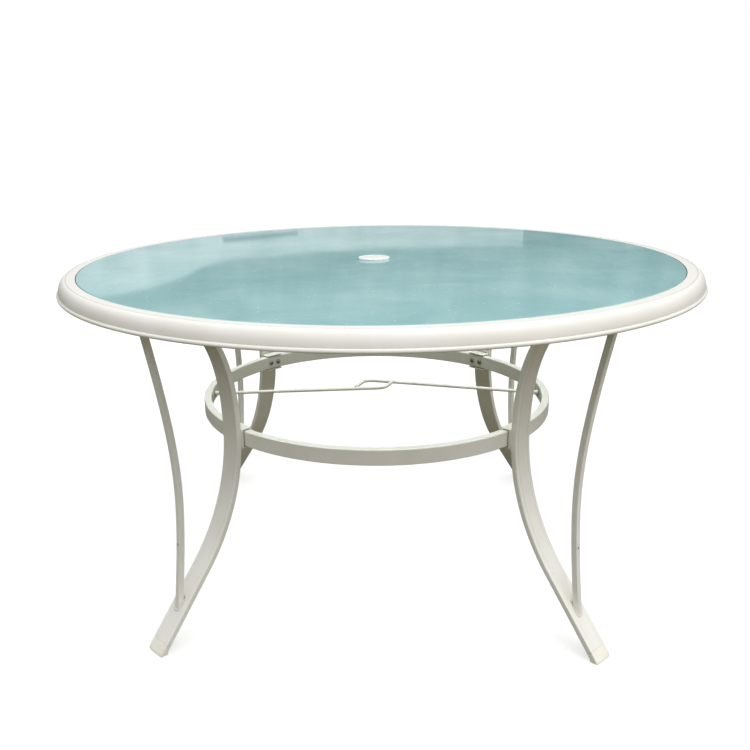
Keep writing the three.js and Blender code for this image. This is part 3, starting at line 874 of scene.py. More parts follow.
@dataclass
class TableTop:
    """Rim, gasket, glass, umbrella ring and hole cap.

    Arcs that would end on their neighbour's first point stop a few degrees before it.
    """

    bead_radius: float = 4.0
    face_reach: float = 16.1
    face_drop: float = 26.0
    groove_width: float = 1.2
    groove_depth: float = 0.8
    band_width: float = 18.2
    lip_radius: float = 0.6
    wall: float = 2.2
    ledge_reach: float = 14.0
    ledge_thickness: float = 2.0
    flange_reach: float = 20.0
    flange_thickness: float = 3.0
    glass_edge_radius: float = 1.2
    ring_edge_radius: float = 0.6
    cap_edge_radius: float = 0.9
    cap_skirt_wall: float = 2.0
    cap_hollow: float = 0.5
    roof_pole_radius: float = 0.4
    joint_gap: float = 0.3
    segments: int = 360
    small_segments: int = 96
    edge_points: int = 5
    groove_points: int = 7
    face_points: int = 26
    bead_points: int = 18
    inside_points: int = 8
    crown_points: int = 16
    crown_start: float = 0.02

    def build(self, shop: Workshop) -> None:
        """Makes the pieces of the top.

        Args:
            shop: where the pieces are finished.
        """
        palette = shop.palette
        large, small = self.segments, self.small_segments
        pieces = (
            (self.rim_profile(), large, "rim_rolled", "rim", palette.paint, Slot.FRAME_PAINT),
            (self.glass_profile(), large, "glass_disc", "glass_top", palette.glass, Slot.FROSTED_GLASS),
            (self.gasket_profile(), large, "gasket_strip", "glazing_gasket", palette.gasket, Slot.GASKET_RUBBER),
            (self.ring_profile(), small, "hole_ring", "umbrella_ring", palette.cap, Slot.CAP_PLASTIC),
        )
        for profile, segments, name, node, material, slot in pieces:
            shop.finish(revolved(profile, segments), name, material, stands_for=(node,))
        cap = domed(self.cap_profile(), small)
        shop.finish(
            cap,
            "hole_cap_dome",
            palette.cap,
            Body.HOLE_CAP,
            stands_for=("umbrella_hole_cap",),
        )

    def rim_profile(self) -> np.ndarray:
        """Outline of the rolled rim, from the glass ledge over the band, the round face and the bead to the flange.

        Returns:
            The closed outline as radius and height.
        """
        bottom, top, outer = heights_and_reach("rim")
        ledge = heights_and_reach("glazing_gasket")[0] - self.joint_gap
        face_foot = outer - self.bead_radius
        face_top = face_foot - self.face_reach
        groove = face_top - self.groove_width
        lip = groove - self.band_width
        face_base = top - self.face_drop
        round_lip = (self.lip_radius, self.lip_radius)
        groove_half = self.groove_width / 2
        inner_face = (self.face_reach + self.groove_width - self.wall, self.face_drop - self.wall)
        bead = (self.bead_radius, self.bead_radius)
        ledge_end, ledge_low = lip - self.ledge_reach, ledge - self.ledge_thickness
        flange_end, flange_high = lip - self.flange_reach, bottom + self.flange_thickness
        return np.concatenate(
            [
                [[ledge_end, ledge_low], [ledge_end, ledge], [lip, ledge]],
                arc((lip + self.lip_radius, top - self.lip_radius), round_lip, (180, 90), self.edge_points),
                arc((groove + groove_half, top), (groove_half, self.groove_depth), (180, 360), self.groove_points),
                arc((face_top, face_base), (self.face_reach, self.face_drop), (89, 0), self.face_points),
                arc((face_foot, bottom + self.bead_radius), bead, (80, -90), self.bead_points),
                [[face_foot - self.wall, bottom]],
                arc((groove, face_base), inner_face, (0, 90), self.inside_points),
                [[lip + self.wall, top - self.wall], [lip + self.wall, bottom]],
                [[flange_end, bottom], [flange_end, flange_high], [lip, flange_high], [lip, ledge_low]],
            ]
        )

    def glass_profile(self) -> np.ndarray:
        """Outline of the glass between its hole and its ground edge.

        Returns:
            The closed outline as radius and height.
        """
        bottom, top, outer = heights_and_reach("glass_top")
        inner = ring_radii("glass_top")[0]
        return rounded_box((inner, bottom), (outer, top), self.glass_edge_radius, self.edge_points + 1)

    def gasket_profile(self) -> np.ndarray:
        """Outline of the L-shaped gasket, with a soft top edge that shows as a thin line round the glass.

        Returns:
            The closed outline as radius and height.
        """
        bottom, top, outer = heights_and_reach("glazing_gasket")
        glass_bottom, _, glass_outer = heights_and_reach("glass_top")
        inner = glass_outer + self.joint_gap
        half = (outer - inner) / 2
        ledge_end, ledge_top = outer - self.ledge_reach, glass_bottom - self.joint_gap
        return np.concatenate(
            [
                [[ledge_end, bottom], [outer, bottom]],
                arc((outer - half, top - half), (half, half), (0, 180), self.groove_points),
                [[inner, ledge_top], [ledge_end, ledge_top]],
            ]
        )

    def ring_profile(self) -> np.ndarray:
        """Outline of the flanged sleeve in the glass.

        Returns:
            The closed outline as radius and height.
        """
        bottom, top, outer = heights_and_reach("umbrella_ring")
        seat = heights_and_reach("glass_top")[1] + self.joint_gap
        sleeve = ring_radii("glass_top")[0] - self.joint_gap
        pole = ring_radii("umbrella_ring")[0]
        edge = self.ring_edge_radius
        return np.concatenate(
            [
                [[pole, bottom], [sleeve, bottom], [sleeve, seat], [outer, seat]],
                arc((outer - edge, top - edge), (edge, edge), (0, 90), self.edge_points),
                arc((pole + edge, top - edge), (edge, edge), (90, 180), self.edge_points - 1),
            ]
        )

    def cap_profile(self) -> np.ndarray:
        """Outline of the cap: a shallow crown that rolls over at its edge, and the hollow skirt under it.

        The crown's height falls with the square of the distance from its middle.

        Returns:
            The outline as radius and height, from the crown's middle to the roof's.
        """
        bottom, top, outer = heights_and_reach("umbrella_hole_cap")
        seat = heights_and_reach("umbrella_ring")[1] + self.joint_gap
        skirt = ring_radii("umbrella_ring")[0] - self.joint_gap
        inside = skirt - self.cap_skirt_wall
        roof = seat + self.cap_hollow
        edge = self.cap_edge_radius
        share = np.linspace(self.crown_start, 1.0, self.crown_points)
        rise = top - seat - edge
        crown = np.stack([share * (outer - edge), seat + edge + rise * (1 - share**2)], -1)
        return np.concatenate(
            [
                crown,
                arc((outer - edge, seat + edge), (edge, edge), (75, -70), self.inside_points),
                [[skirt, seat], [skirt, bottom], [inside, bottom], [inside, roof], [self.roof_pole_radius, roof]],
            ]
        )


@dataclass
class WeldBead:
    """How a hand-laid weld bead swells and ripples."""

    radius: float = 2.4
    ripple_length: float = 3.4
    round_shares: Triple = (0.72, 0.2, 0.28)
    side_share: float = 0.8
    side_ripple: float = 0.25
    side_end: float = 0.002
    sides: int = 10

    def round_bar(self, travelled: np.ndarray, total: float, phase: float) -> np.ndarray:
        """The bead's radius on its way round a bar.

        It is a share that stays, one that swells and falls once each ripple length, and one that does so twice in the
        whole round.

        Args:
            travelled: how far along the bead each station lies.
            total: the length of the whole round.
            phase: where the ripples start, in radians.

        Returns:
            The radius at each station.
        """
        ripples = round(total / self.ripple_length)
        wave = 0.5 * (1 + np.cos(2 * math.pi * ripples * travelled / total + phase))
        slow = 0.5 * (1 + np.sin(2 * math.pi * 2 * travelled / total + phase))
        steady_share, wave_share, slow_share = self.round_shares
        return self.radius * (steady_share + wave_share * wave + slow_share * slow)

    def straight(self, share: np.ndarray, length: float) -> np.ndarray:
        """The bead's radius along a straight run that tapers to nothing at both ends.

        It ripples, and falls off as the root of one less the eighth power of the way from the middle.

        Args:
            share: how far along the run each station lies, from 0 to 1.
            length: the run's length.

        Returns:
            The radius at each station.
        """
        wave = 0.5 * (1 + np.cos(2 * math.pi * length / self.ripple_length * share))
        ripple = 1 - self.side_ripple + self.side_ripple * wave
        taper = np.sqrt(np.clip(1 - (2 * share - 1) ** 8, self.side_end, 1))
        return self.radius * self.side_share * ripple * taper


@dataclass
class Leg:
    """A main leg's flat tube with what is fixed to it, built along +X and turned to its corner."""

    width: float = 48.0
    thickness: float = 12.0
    corner_radius: float = 2.2
    groove_inset: float = 9.5
    groove_width: float = 3.2
    groove_depth: float = 0.6
    foot_radius: float = 630.4
    foot_run: float = 0.80692
    waist_radius: float = 416.0
    waist_height: float = 415.0
    sweep_end_radius: float = 562.0
    sweep_rise_share: float = 0.732
    sweep_run_share: float = 0.548
    end_inset: float = 36.0
    cap_length: float = 27.0
    joint_gap: float = 0.3
    straight_stations: int = 14
    bow_stations: int = 60
    sweep_stations: int = 80
    corner_points: int = 6
    groove_points: int = 9

    def build(self, shop: Workshop, corner: Corner) -> None:
        """Makes the pieces of one corner.

        Args:
            shop: where the pieces are finished.
            corner: which corner it is.
        """
        name, degrees = corner.name.lower(), corner.value
        paint, plastic = shop.palette.paint, shop.palette.foot
        slim_bar, bracket = SlimBar(self), Bracket(self)
        leg = swept(self.section(), *self.line()).turned_to(degrees)
        shop.finish(leg, f"leg_tube_{name}", paint, stands_for=(f"main_leg_{name}",))
        slim = slim_bar.surface().turned_to(degrees)
        bar = shop.finish(slim, f"bar_tube_{name}", paint, stands_for=(f"outer_bar_{name}",))
        slim_bar.drill(bar, degrees)
        welds = slim_bar.foot_weld().joined(slim_bar.top_weld())
        for side in (-1.0, 1.0):
            welds = welds.joined(bracket.side_weld(side))
        shop.finish(welds.turned_to(degrees), f"welds_{name}", paint)
        foot_cap = FootCap(self).surface().turned_to(degrees)
        shop.finish(foot_cap, f"foot_{name}", plastic, stands_for=(f"foot_cap_{name}",))
        shop.repaint(f"leg_plug_{name}", plastic)
        shop.finish(
            bracket.surface().turned_to(degrees),
            f"bracket_channel_{name}",
            paint,
            stands_for=(f"ring_bracket_{name}",),
            bevel_mm=bracket.edge,
        )

    @property
    def foot_lean(self) -> float:
        """The straight foot's angle from upright, in radians."""
        return math.atan(self.foot_run)

    @property
    def underside(self) -> float:
        """Height of the level end's lower face, which is the leg's outer face there."""
        return heights_and_reach("rim")[0] - self.joint_gap - self.thickness

    def line(self) -> tuple[np.ndarray, np.ndarray]:
        """The leg's outer face in the XZ plane: a straight foot, an arc to the waist, a sweep and a level end.

        Returns:
            Stations as radius and height, and their unit tangents.
        """
        lean, run = self.foot_lean, self.foot_run
        overshoot = self.waist_radius - self.foot_radius + run * self.waist_height
        bend = overshoot / (run * math.sin(lean) - 1 + math.cos(lean))
        knee_height = self.waist_height - bend * math.sin(lean)
        up = np.array([-math.sin(lean), math.cos(lean)])
        start = np.array([self.foot_radius, 0.0]) + up * self.cap_length
        knee = np.array([self.foot_radius - run * knee_height, knee_height])
        straight = start + (knee - start) * np.linspace(0.0, 1.0, self.straight_stations)[:, None]
        centre = (self.waist_radius + bend, self.waist_height)
        degrees = (180 + math.degrees(lean), 180)
        bow = arc(centre, (bend, bend), degrees, self.bow_stations)
        angle = np.radians(np.linspace(*degrees, self.bow_stations))
        bow_tangent = np.stack([np.sin(angle), -np.cos(angle)], -1)
        waist = np.array([self.waist_radius, self.waist_height])
        end = np.array([self.sweep_end_radius, self.underside])
        rise = (self.underside - self.waist_height) * self.sweep_rise_share
        reach = (self.sweep_end_radius - self.waist_radius) * self.sweep_run_share
        controls = np.array([waist, waist + (0.0, rise), end - (reach, 0.0), end])
        sweep, sweep_tangent = bezier(controls, self.sweep_stations)
        level = np.array([[heights_and_reach("rim")[2] - self.end_inset, self.underside]])
        line = np.concatenate([straight, bow[1:], sweep[1:], level])
        straight_tangent = np.repeat(up[None, :], len(straight), 0)
        tangents = np.concatenate([straight_tangent, bow_tangent[1:], sweep_tangent[1:], [[1.0, 0.0]]])
        return line, tangents

    def section(self) -> np.ndarray:
        """Flat tube section with round corners and two shallow grooves in its outer face.

        A groove is one wave of the cosine across its width.

        Returns:
            The outline as (across, out), out being zero on the outer face.
        """
        half, radius, count = self.width / 2, self.corner_radius, self.corner_points
        both, low = (radius, radius), -self.thickness + radius
        share = np.linspace(0.0, 1.0, self.groove_points)
        depth = -self.groove_depth * 0.5 * (1 - np.cos(2 * math.pi * share))
        parts = [
            arc((half - radius, low), both, (-90, 0), count),
            arc((half - radius, -radius), both, (0, 90), count),
        ]
        for side in (1.0, -1.0):
            across = side * (half - self.groove_inset) + (0.5 - share) * self.groove_width
            parts.append(np.stack([across, depth], -1))
        parts.append(arc((-half + radius, -radius), both, (90, 180), count))
        parts.append(arc((-half + radius, low), both, (180, 270), count))
        return np.concatenate(parts)


@dataclass
class SlimBar:
    """The square bar outside a leg, from the leg's foot up to its level end, with a drain hole and its welds."""

    leg: Leg
    width: float = 12.7
    corner_radius: float = 1.6
    waist_radius: float = 550.79
    waist_height: float = 320.0
    top_radius: float = 601.0
    top_run: float = 0.20101
    foot_radius: float = 570.61
    foot_height: float = 74.1
    foot_run: float = 0.11446
    handle_share: float = 0.333
    bury: float = 1.5
    wall: float = 1.3
    drain_height: float = 216.0
    drain_diameter: float = 7.0
    drill_step: float = 0.1
    drill_lead_share: float = 0.2
    drill_sides: int = 20
    low_stations: int = 48
    high_stations: int = 64
    weld: WeldBead = field(default_factory=WeldBead)
    weld_corner_factor: float = 1.6
    weld_corner_points: int = 9
    weld_steps: int = 8
    foot_weld_phase: float = 0.4
    top_weld_phase: float = 1.7

    def line(self) -> tuple[np.ndarray, np.ndarray]:
        """The bar's outer face in the XZ plane: two cubic curves that meet upright at the bar's waist.

        Returns:
            Stations as radius and height, and their unit tangents.
        """
        foot = np.array([self.foot_radius + self.bury * self.foot_run, self.foot_height - self.bury])
        waist = np.array([self.waist_radius, self.waist_height])
        inside = min(self.width, self.leg.thickness) / 2
        top = np.array([self.top_radius + inside * self.top_run, self.leg.underside + inside])
        low = (self.waist_height - self.foot_height) * self.handle_share
        high = (self.leg.underside - self.waist_height) * self.handle_share
        low_controls = np.array([foot, foot + (-low * self.foot_run, low), waist - (0.0, low), waist])
        high_controls = np.array([waist, waist + (0.0, high), top - (high * self.top_run, high), top])
        first, first_tangent = bezier(low_controls, self.low_stations)
        second, second_tangent = bezier(high_controls, self.high_stations)
        return np.concatenate([first, second[1:]]), np.concatenate([first_tangent, second_tangent[1:]])

    def section(self, corner_radius: float, corner_points: int = 5) -> np.ndarray:
        """Outline of the square tube as (across, out), out being zero on the outer face."""
        return rounded_box((-self.width / 2, -self.width), (self.width / 2, 0.0), corner_radius, corner_points)

    def surface(self) -> Surface:
        """The bar without its drain hole."""
        return swept(self.section(self.corner_radius), *self.line())

    def drill(self, bar: bpy.types.Object, degrees: float) -> None:
        """Cuts the bar's small drain hole and the hollow of the bar behind it.

        The cutter is a thin round bit through the wall that widens to the hollow on its inside.

        Args:
            bar: the bar's object.
            degrees: the corner's angle.
        """
        line, tangents = self.line()
        station = int(np.abs(line[:, 1] - self.drain_height).argmin())
        tangent = tangents[station]
        out = np.array([tangent[1], 0.0, -tangent[0]])
        at = np.array([line[station, 0], 0.0, line[station, 1]])
        hollow, wall = self.width - 2 * self.wall, self.wall
        depth = np.array([-wall - hollow, -wall - self.drill_step, -wall, self.width * self.drill_lead_share])
        centre = at[None, :] + out[None, :] * depth[:, None]
        radius = np.array([hollow, hollow, self.drain_diameter, self.drain_diameter]) / 2
        bit = tube(centre, radius, SIDEWAYS, self.drill_sides, False).turned_to(degrees)
        cutter = bit.as_object("drill_bit")
        cut = bar.modifiers.new("drain_hole", "BOOLEAN")
        cut.operation = "DIFFERENCE"
        cut.solver = "EXACT"
        cut.object = cutter
        graph = bpy.context.evaluated_depsgraph_get()
        drilled = bpy.data.meshes.new_from_object(bar.evaluated_get(graph))
        bar.modifiers.remove(cut)
        bar.data = drilled
        bpy.data.objects.remove(cutter)

    def weld_loop(self, point: np.ndarray, along: np.ndarray, plane_normal: np.ndarray, phase: float) -> Surface:
        """A rippled weld bead round the bar where it meets a flat face.

        The bead's line is the bar's outline carried along the bar onto the plane.

        Args:
            point: a point of the bar's outer face on the plane, as radius and height.
            along: the bar's unit tangent there.
            plane_normal: the face's unit normal, away from the leg.
            phase: where the ripples start, in radians.

        Returns:
            A closed surface.
        """
        outline = self.section(self.corner_radius * self.weld_corner_factor, self.weld_corner_points)
        steps = np.linspace(0.0, 1.0, self.weld_steps, endpoint=False)
        following = np.roll(outline, -1, 0)
        fine = (outline[:, None, :] + (following - outline)[:, None, :] * steps[None, :, None]).reshape(-1, 2)
        out = np.array([along[1], -along[0]])
        flat = point[None, :] + fine[:, 1][:, None] * out[None, :]
        distance = -((flat - point) @ plane_normal) / float(along @ plane_normal)
        flat = flat + distance[:, None] * along[None, :]
        centre = np.stack([flat[:, 0], fine[:, 0], flat[:, 1]], -1)
        lengths = np.linalg.norm(np.roll(centre, -1, 0) - centre, axis=1)
        travelled = np.concatenate([[0.0], np.cumsum(lengths)[:-1]])
        radius = self.weld.round_bar(travelled, float(lengths.sum()), phase)
        up = np.array([plane_normal[0], 0.0, plane_normal[1]])
        return tube(centre, radius, up, self.weld.sides, True)

    def foot_weld(self) -> Surface:
        """The bead between the bar's foot and the leg's sloping outer face.

        Returns:
            A closed surface.
        """
        along = np.array([-self.foot_run, 1.0]) / math.hypot(self.foot_run, 1.0)
        face = np.array([math.cos(self.leg.foot_lean), math.sin(self.leg.foot_lean)])
        place = np.array([self.foot_radius, self.foot_height])
        return self.weld_loop(place, along, face, self.foot_weld_phase)

    def top_weld(self) -> Surface:
        """The bead between the bar's top and the level end's lower face.

        Returns:
            A closed surface.
        """
        along = np.array([self.top_run, 1.0]) / math.hypot(self.top_run, 1.0)
        place = np.array([self.top_radius, self.leg.underside])
        return self.weld_loop(place, along, np.array([0.0, -1.0]), self.top_weld_phase)


@dataclass
class Bracket:
    """The channel between the brace ring and a leg, with the welds at its sides."""

    leg: Leg
    flange: float = 3.0
    overhang: float = 1.5
    edge: float = 0.7
    weld: WeldBead = field(default_factory=WeldBead)
    weld_stations: int = 60

    def side_weld(self, side: float) -> Surface:
        """The upright bead at one side of the bracket.

        Args:
            side: which side of the leg, as a sign.

        Returns:
            A closed surface.
        """
        low, high = self.heights()
        share = np.linspace(0.0, 1.0, self.weld_stations)
        height = low + (high - low) * share
        across = np.full_like(height, side * (self.width() / 2))
        outer = np.full_like(height, self.leg.waist_radius - self.leg.thickness - self.leg.joint_gap * 2)
        line = np.stack([outer, across, height], -1)
        return tube(line, self.weld.straight(share, high - low), SIDEWAYS, self.weld.sides, False)

    def heights(self) -> Pair:
        """The bracket's lowest and highest point."""
        return heights_and_reach("ring_bracket_front_left")[:2]

    def width(self) -> float:
        """The bracket's width across the leg, from the box of one that stands on a diagonal.

        The box's side is the width and the depth added up and divided by the root of two.

        Returns:
            The width.
        """
        low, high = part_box("ring_bracket_front_left")
        depth = self.depths()[1] - self.depths()[0]
        return (high.x - low.x) / METRES_PER_MM * math.sqrt(2.0) - depth

    def depths(self) -> Pair:
        """The radii between which the bracket reaches, from inside the ring to the leg."""
        inner = ring_radii("brace_ring")[0] - self.overhang
        return inner, self.leg.waist_radius - self.leg.thickness - self.leg.joint_gap

    def surface(self) -> Surface:
        """Channel bracket: the web stands on the leg and two flanges reach over the ring's top and bottom.

        Returns:
            A closed surface.
        """
        inner, outer = self.depths()
        web = ring_radii("brace_ring")[1] + self.leg.joint_gap
        low, high = self.heights()
        roof, floor = high - self.flange, low + self.flange
        back = [[outer, low], [outer, high]]
        upper = [[inner, high], [inner, roof], [web, roof]]
        lower = [[web, floor], [inner, floor], [inner, low]]
        return self.prism(np.array(back + upper + lower), self.width() / 2)

    @staticmethod
    def prism(outline: np.ndarray, half: float) -> Surface:
        """Stretches an outline in the XZ plane across the leg.

        Args:
            outline: radius and height of each corner.
            half: half the width across.

        Returns:
            A closed surface.
        """
        count = len(outline)
        sides = [np.stack([outline[:, 0], np.full(count, y), outline[:, 1]], -1) for y in (-half, half)]
        return Surface(np.concatenate(sides), closed_ends(len(sides), count))


@dataclass
class FootCap:
    """The moulded cap that a leg stands on. Its rows run from the joint to the floor."""

    leg: Leg
    seam: float = 0.8
    seam_edge: float = 0.8
    seam_edge_share: float = 0.02
    outer_layer: float = 0.3
    heel: float = 3.2
    toe_rounding: float = 1.6
    toe_crown: float = 2.6
    seam_rows: tuple[float, ...] = (0.0, 0.015, 0.04)
    middle_rows: tuple[float, float, int] = (0.1, 0.9, 14)
    floor_rows: tuple[float, ...] = (0.95, 0.985, 1.0)

    def surface(self) -> Surface:
        """Foot cap: the leg's own section carried on to the floor, with a small heel inside and a rounded toe.

        A section point keeps its offset from the leg's outer face and travels along the leg. Rows run from the joint,
        which is square to the leg, to the floor, where height is zero. The heel pushes inner points inwards with the
        cube of the way down. The toe pulls outer points back, corners more than the middle, with its fourth power and
        above. At the joint the outline is drawn in by an edge that fades exponentially.

        Returns:
            A closed surface.
        """
        lean = self.leg.foot_lean
        up = np.array([-math.sin(lean), math.cos(lean)])
        outward = np.array([math.cos(lean), math.sin(lean)])
        section = self.leg.section()
        across, out = section[:, 0][None, :], section[:, 1][None, :]
        row = np.concatenate([self.seam_rows, np.linspace(*self.middle_rows), self.floor_rows])[:, None]
        floor_travel = -out * self.leg.foot_run
        joint_travel = self.leg.cap_length - self.seam
        travel = joint_travel + (floor_travel - joint_travel) * row
        radius = self.leg.foot_radius + up[0] * travel + outward[0] * out
        height = np.maximum(up[1] * travel + outward[1] * out, 0.0)
        inner_share = np.clip(-out / self.leg.thickness, 0.0, 1.0)
        radius = radius - self.heel * inner_share * row**3
        outer_share = 1.0 - inner_share
        corner_share = (np.abs(across) / (self.leg.width / 2)) ** 4
        radius = radius - outer_share * row**4 * (self.toe_crown * corner_share + self.toe_rounding * row**6)
        edge = self.seam_edge * np.exp(-row / self.seam_edge_share) * np.ones_like(across)
        shrink = 1.0 - edge / (self.leg.width / 2)
        radius = radius - outward[0] * edge * (out > -self.outer_layer)
        points = np.stack([radius, across * shrink, height], -1)
        return Surface(points.reshape(-1, 3), closed_ends(len(row), len(section)))


@dataclass
class BraceRing:
    """The rolled rectangular tube that ties the legs together."""

    corner_radius: float = 2.4
    corner_points: int = 6
    segments: int = 360

    def build(self, shop: Workshop) -> None:
        """Makes the ring.

        Args:
            shop: where the piece is finished.
        """
        low, high, _ = heights_and_reach("brace_ring")
        inner, outer = ring_radii("brace_ring")
        outline = rounded_box((inner, low), (outer, high), self.corner_radius, self.corner_points)
        hoop = revolved(outline, self.segments)
        shop.finish(hoop, "ring_tube", shop.palette.paint, stands_for=("brace_ring",))


@dataclass
class Screws:
    """Round-head bolts: two through the ring and two into the rim at each leg."""

    shank_radius: float = 3.0
    head_radius: float = 6.0
    head_height: float = 3.6
    head_lip: float = 0.7
    pole_radius: float = 0.2
    dome_start_deg: float = 88.0
    dome_points: int = 12
    segments: int = 36

    def build(self, shop: Workshop, corner: Corner) -> None:
        """Makes one corner's screws and repaints its nuts.

        Args:
            shop: where the pieces are finished.
            corner: which corner it is.
        """
        name, degrees = corner.name.lower(), corner.value
        for letter in "ab":
            for kind in ("ring_bolt", "rim_bolt"):
                node = f"{kind}_{name}_{letter}"
                screw = self.placed(node, kind, degrees)
                shop.finish(screw, f"screw_{node}", shop.palette.steel, stands_for=(node,))
            shop.repaint(f"rim_nut_{name}_{letter}", shop.palette.steel)

    def placed(self, node: str, kind: str, degrees: float) -> Surface:
        """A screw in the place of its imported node.

        Args:
            node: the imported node.
            kind: ring_bolt, whose head points inwards, or rim_bolt, whose head points down.
            degrees: the corner's angle.

        Returns:
            The screw's surface.
        """
        points = packed_points(node)
        angle = math.radians(degrees)
        along = np.array([math.cos(angle), math.sin(angle), 0.0])
        aside = np.array([-math.sin(angle), math.cos(angle), 0.0])
        if kind == "ring_bolt":
            reach, side, height = points @ along, points @ aside, points[:, 2]
            screw = self.screw(float(np.ptp(reach)) - self.head_height)
            turned = np.stack([screw.points[:, 2], screw.points[:, 1], -screw.points[:, 0]], -1)
            middle = (side.min() + side.max()) / 2, (height.min() + height.max()) / 2
            local = turned + np.array([reach.min() + self.head_height, *middle])
            return Surface(local, screw.faces).turned_to(degrees)
        screw = self.screw(float(np.ptp(points[:, 2])) - self.head_height)
        centre = (points.min(0) + points.max(0)) / 2
        place = np.array([centre[0], centre[1], points[:, 2].min() + self.head_height])
        return Surface(screw.points + place, screw.faces)

    def screw(self, length: float) -> Surface:
        """A screw along +Z with its head's seat at zero and its head below.

        The head is a quarter ellipse turned round the axis, on a short upright lip.

        Args:
            length: the shank's length.

        Returns:
            A closed surface.
        """
        rise = self.head_height - self.head_lip
        dome = arc((0.0, self.head_lip), (self.head_radius, rise), (self.dome_start_deg, 0.0), self.dome_points)
        seat = [[self.head_radius, 0.0], [self.shank_radius, 0.0]]
        shank_end = [[self.shank_radius, -length], [self.pole_radius, -length]]
        return domed(np.concatenate([dome, seat, shank_end]) * np.array([1.0, -1.0]), self.segments)


@dataclass
class PoleGuide:
    """Two bent rods that hook round the umbrella pole, each with a small cone where it is welded to the ring."""

    rod_radius: float = 3.2
    coat: float = 0.75
    rod_rise: float = 22.0
    eye_half_width: float = 30.0
    hook_radius: float = 20.0
    hook_ahead: float = 10.2
    tail_lean_deg: float = 20.0
    joint_gap: float = 0.3
    cone_length: float = 10.0
    cone_base: float = 6.5
    cone_tip: float = 4.0
    cone_offset: float = 0.8
    cone_shares: tuple[float, ...] = (0.0, 0.02, 0.12, 0.4, 0.8, 0.97, 1.0)
    cone_flares: tuple[float, ...] = (0.9, 1.0, 1.0, 0.62, 0.2, 0.02, -0.25)
    weld_base: float = 0.9
    weld_swell: float = 0.1
    weld_stations: int = 13
    tail_bury: float = 1.6
    rounding_passes: int = 60
    rod_stations: int = 24
    lead_stations: int = 14
    bend_stations: int = 44
    tail_stations: int = 16
    sides: int = 20

    def build(self, shop: Workshop) -> None:
        """Makes both rods, hooks and cones with their welds.

        Args:
            shop: where the pieces are finished.
        """
        paint, slot = shop.palette.paint, Slot.FRAME_PAINT
        rod_line, hook_line = self.lines()
        for name, degrees in (("left", 0.0), ("right", 180.0)):
            for kind, line in (("rod", rod_line), ("hook", hook_line)):
                radius = np.full(len(line), self.rod_radius + self.coat)
                round_bar = tube(line, radius, UPRIGHT, self.sides, False).turned_to(degrees)
                shop.finish(round_bar, f"{kind}_{name}", paint, stands_for=(f"guide_{kind}_{name}",))
            cone = self.cone(rod_line).turned_to(degrees)
            shop.finish(cone, f"cone_{name}", paint, stands_for=(f"rod_ferrule_{name}",))
            welds = self.lump(rod_line[-1], rod_line[-1] - rod_line[-2])
            welds = welds.joined(self.lump(hook_line[-1], hook_line[-1] - hook_line[-2]))
            shop.finish(welds.turned_to(degrees), f"rod_weld_{name}", paint)

    def lines(self) -> tuple[np.ndarray, np.ndarray]:
        """The left rod's and the left hook's centre lines.

        The rod runs straight up from the ring, the tangent to the hook's circle. The hook goes on past the pole, turns
        round it on the circle and ends in a straight tail that stops at the other rod. Rod and hook part where the
        other hook's tail ends.

        Returns:
            Stations in space of the rod and of the hook.
        """
        low, high, _ = heights_and_reach("brace_ring")
        middle = (low + high) / 2
        start = np.array([2 * self.joint_gap - ring_radii("brace_ring")[0], 0.0, middle])
        centre = np.array([self.hook_ahead, self.hook_radius - self.eye_half_width, middle + self.rod_rise])
        run, side = centre[0] - start[0], centre[1]
        bearing = math.atan2(side, run) - math.asin(self.hook_radius / math.hypot(run, side))
        lean = math.radians(self.tail_lean_deg)
        angle = np.linspace(bearing - math.pi / 2, -lean, self.bend_stations)
        bend = centre + self.hook_radius * np.stack([np.cos(angle), np.sin(angle), 0.0 * angle], -1)
        heading = np.array([math.sin(lean), math.cos(lean), 0.0])
        along = np.array([math.cos(bearing), math.sin(bearing), 0.0])
        aside = np.array([-math.sin(bearing), math.cos(bearing), 0.0])
        stop = -aside @ start - self.rod_radius * (1.0 + abs(heading @ along)) - self.joint_gap
        tail_end = bend[-1] + heading * (stop - aside @ bend[-1]) / (aside @ heading)
        reach = math.hypot(-tail_end[0] - start[0], -tail_end[1] - start[1])
        tail_end = tail_end + heading * self.tail_bury
        tail = bend[-1] + (tail_end - bend[-1]) * np.linspace(0.0, 1.0, self.tail_stations)[:, None]
        touch = bend[0]
        whole = math.hypot(touch[0] - start[0], touch[1] - start[1])
        parting = start + (touch - start) * reach / whole
        direction = (touch - start) / np.linalg.norm(touch - start)
        rod_end = parting - direction * self.joint_gap / 2
        hook_start = parting + direction * self.joint_gap / 2
        rod = start + (rod_end - start) * np.linspace(0.0, 1.0, self.rod_stations)[:, None]
        lead = hook_start + (touch - hook_start) * np.linspace(0.0, 1.0, self.lead_stations)[:, None]
        return rod, self.rounded(np.concatenate([lead, bend[1:], tail[1:]]))

    def rounded(self, line: np.ndarray) -> np.ndarray:
        """Spaces a line's stations evenly and averages each with its neighbours again and again, ends kept.

        Args:
            line: the stations.

        Returns:
            The same number of stations on a line with wider bends.
        """
        steps = np.linalg.norm(np.diff(line, axis=0), axis=1)
        travelled = np.concatenate([[0.0], np.cumsum(steps)])
        even = np.linspace(0.0, travelled[-1], len(line))
        line = np.stack([np.interp(even, travelled, line[:, axis]) for axis in range(3)], -1)
        for _ in range(self.rounding_passes):
            middle = (line[:-2] + 2 * line[1:-1] + line[2:]) / 4
            line = np.concatenate([line[:1], middle, line[-1:]])
        return line

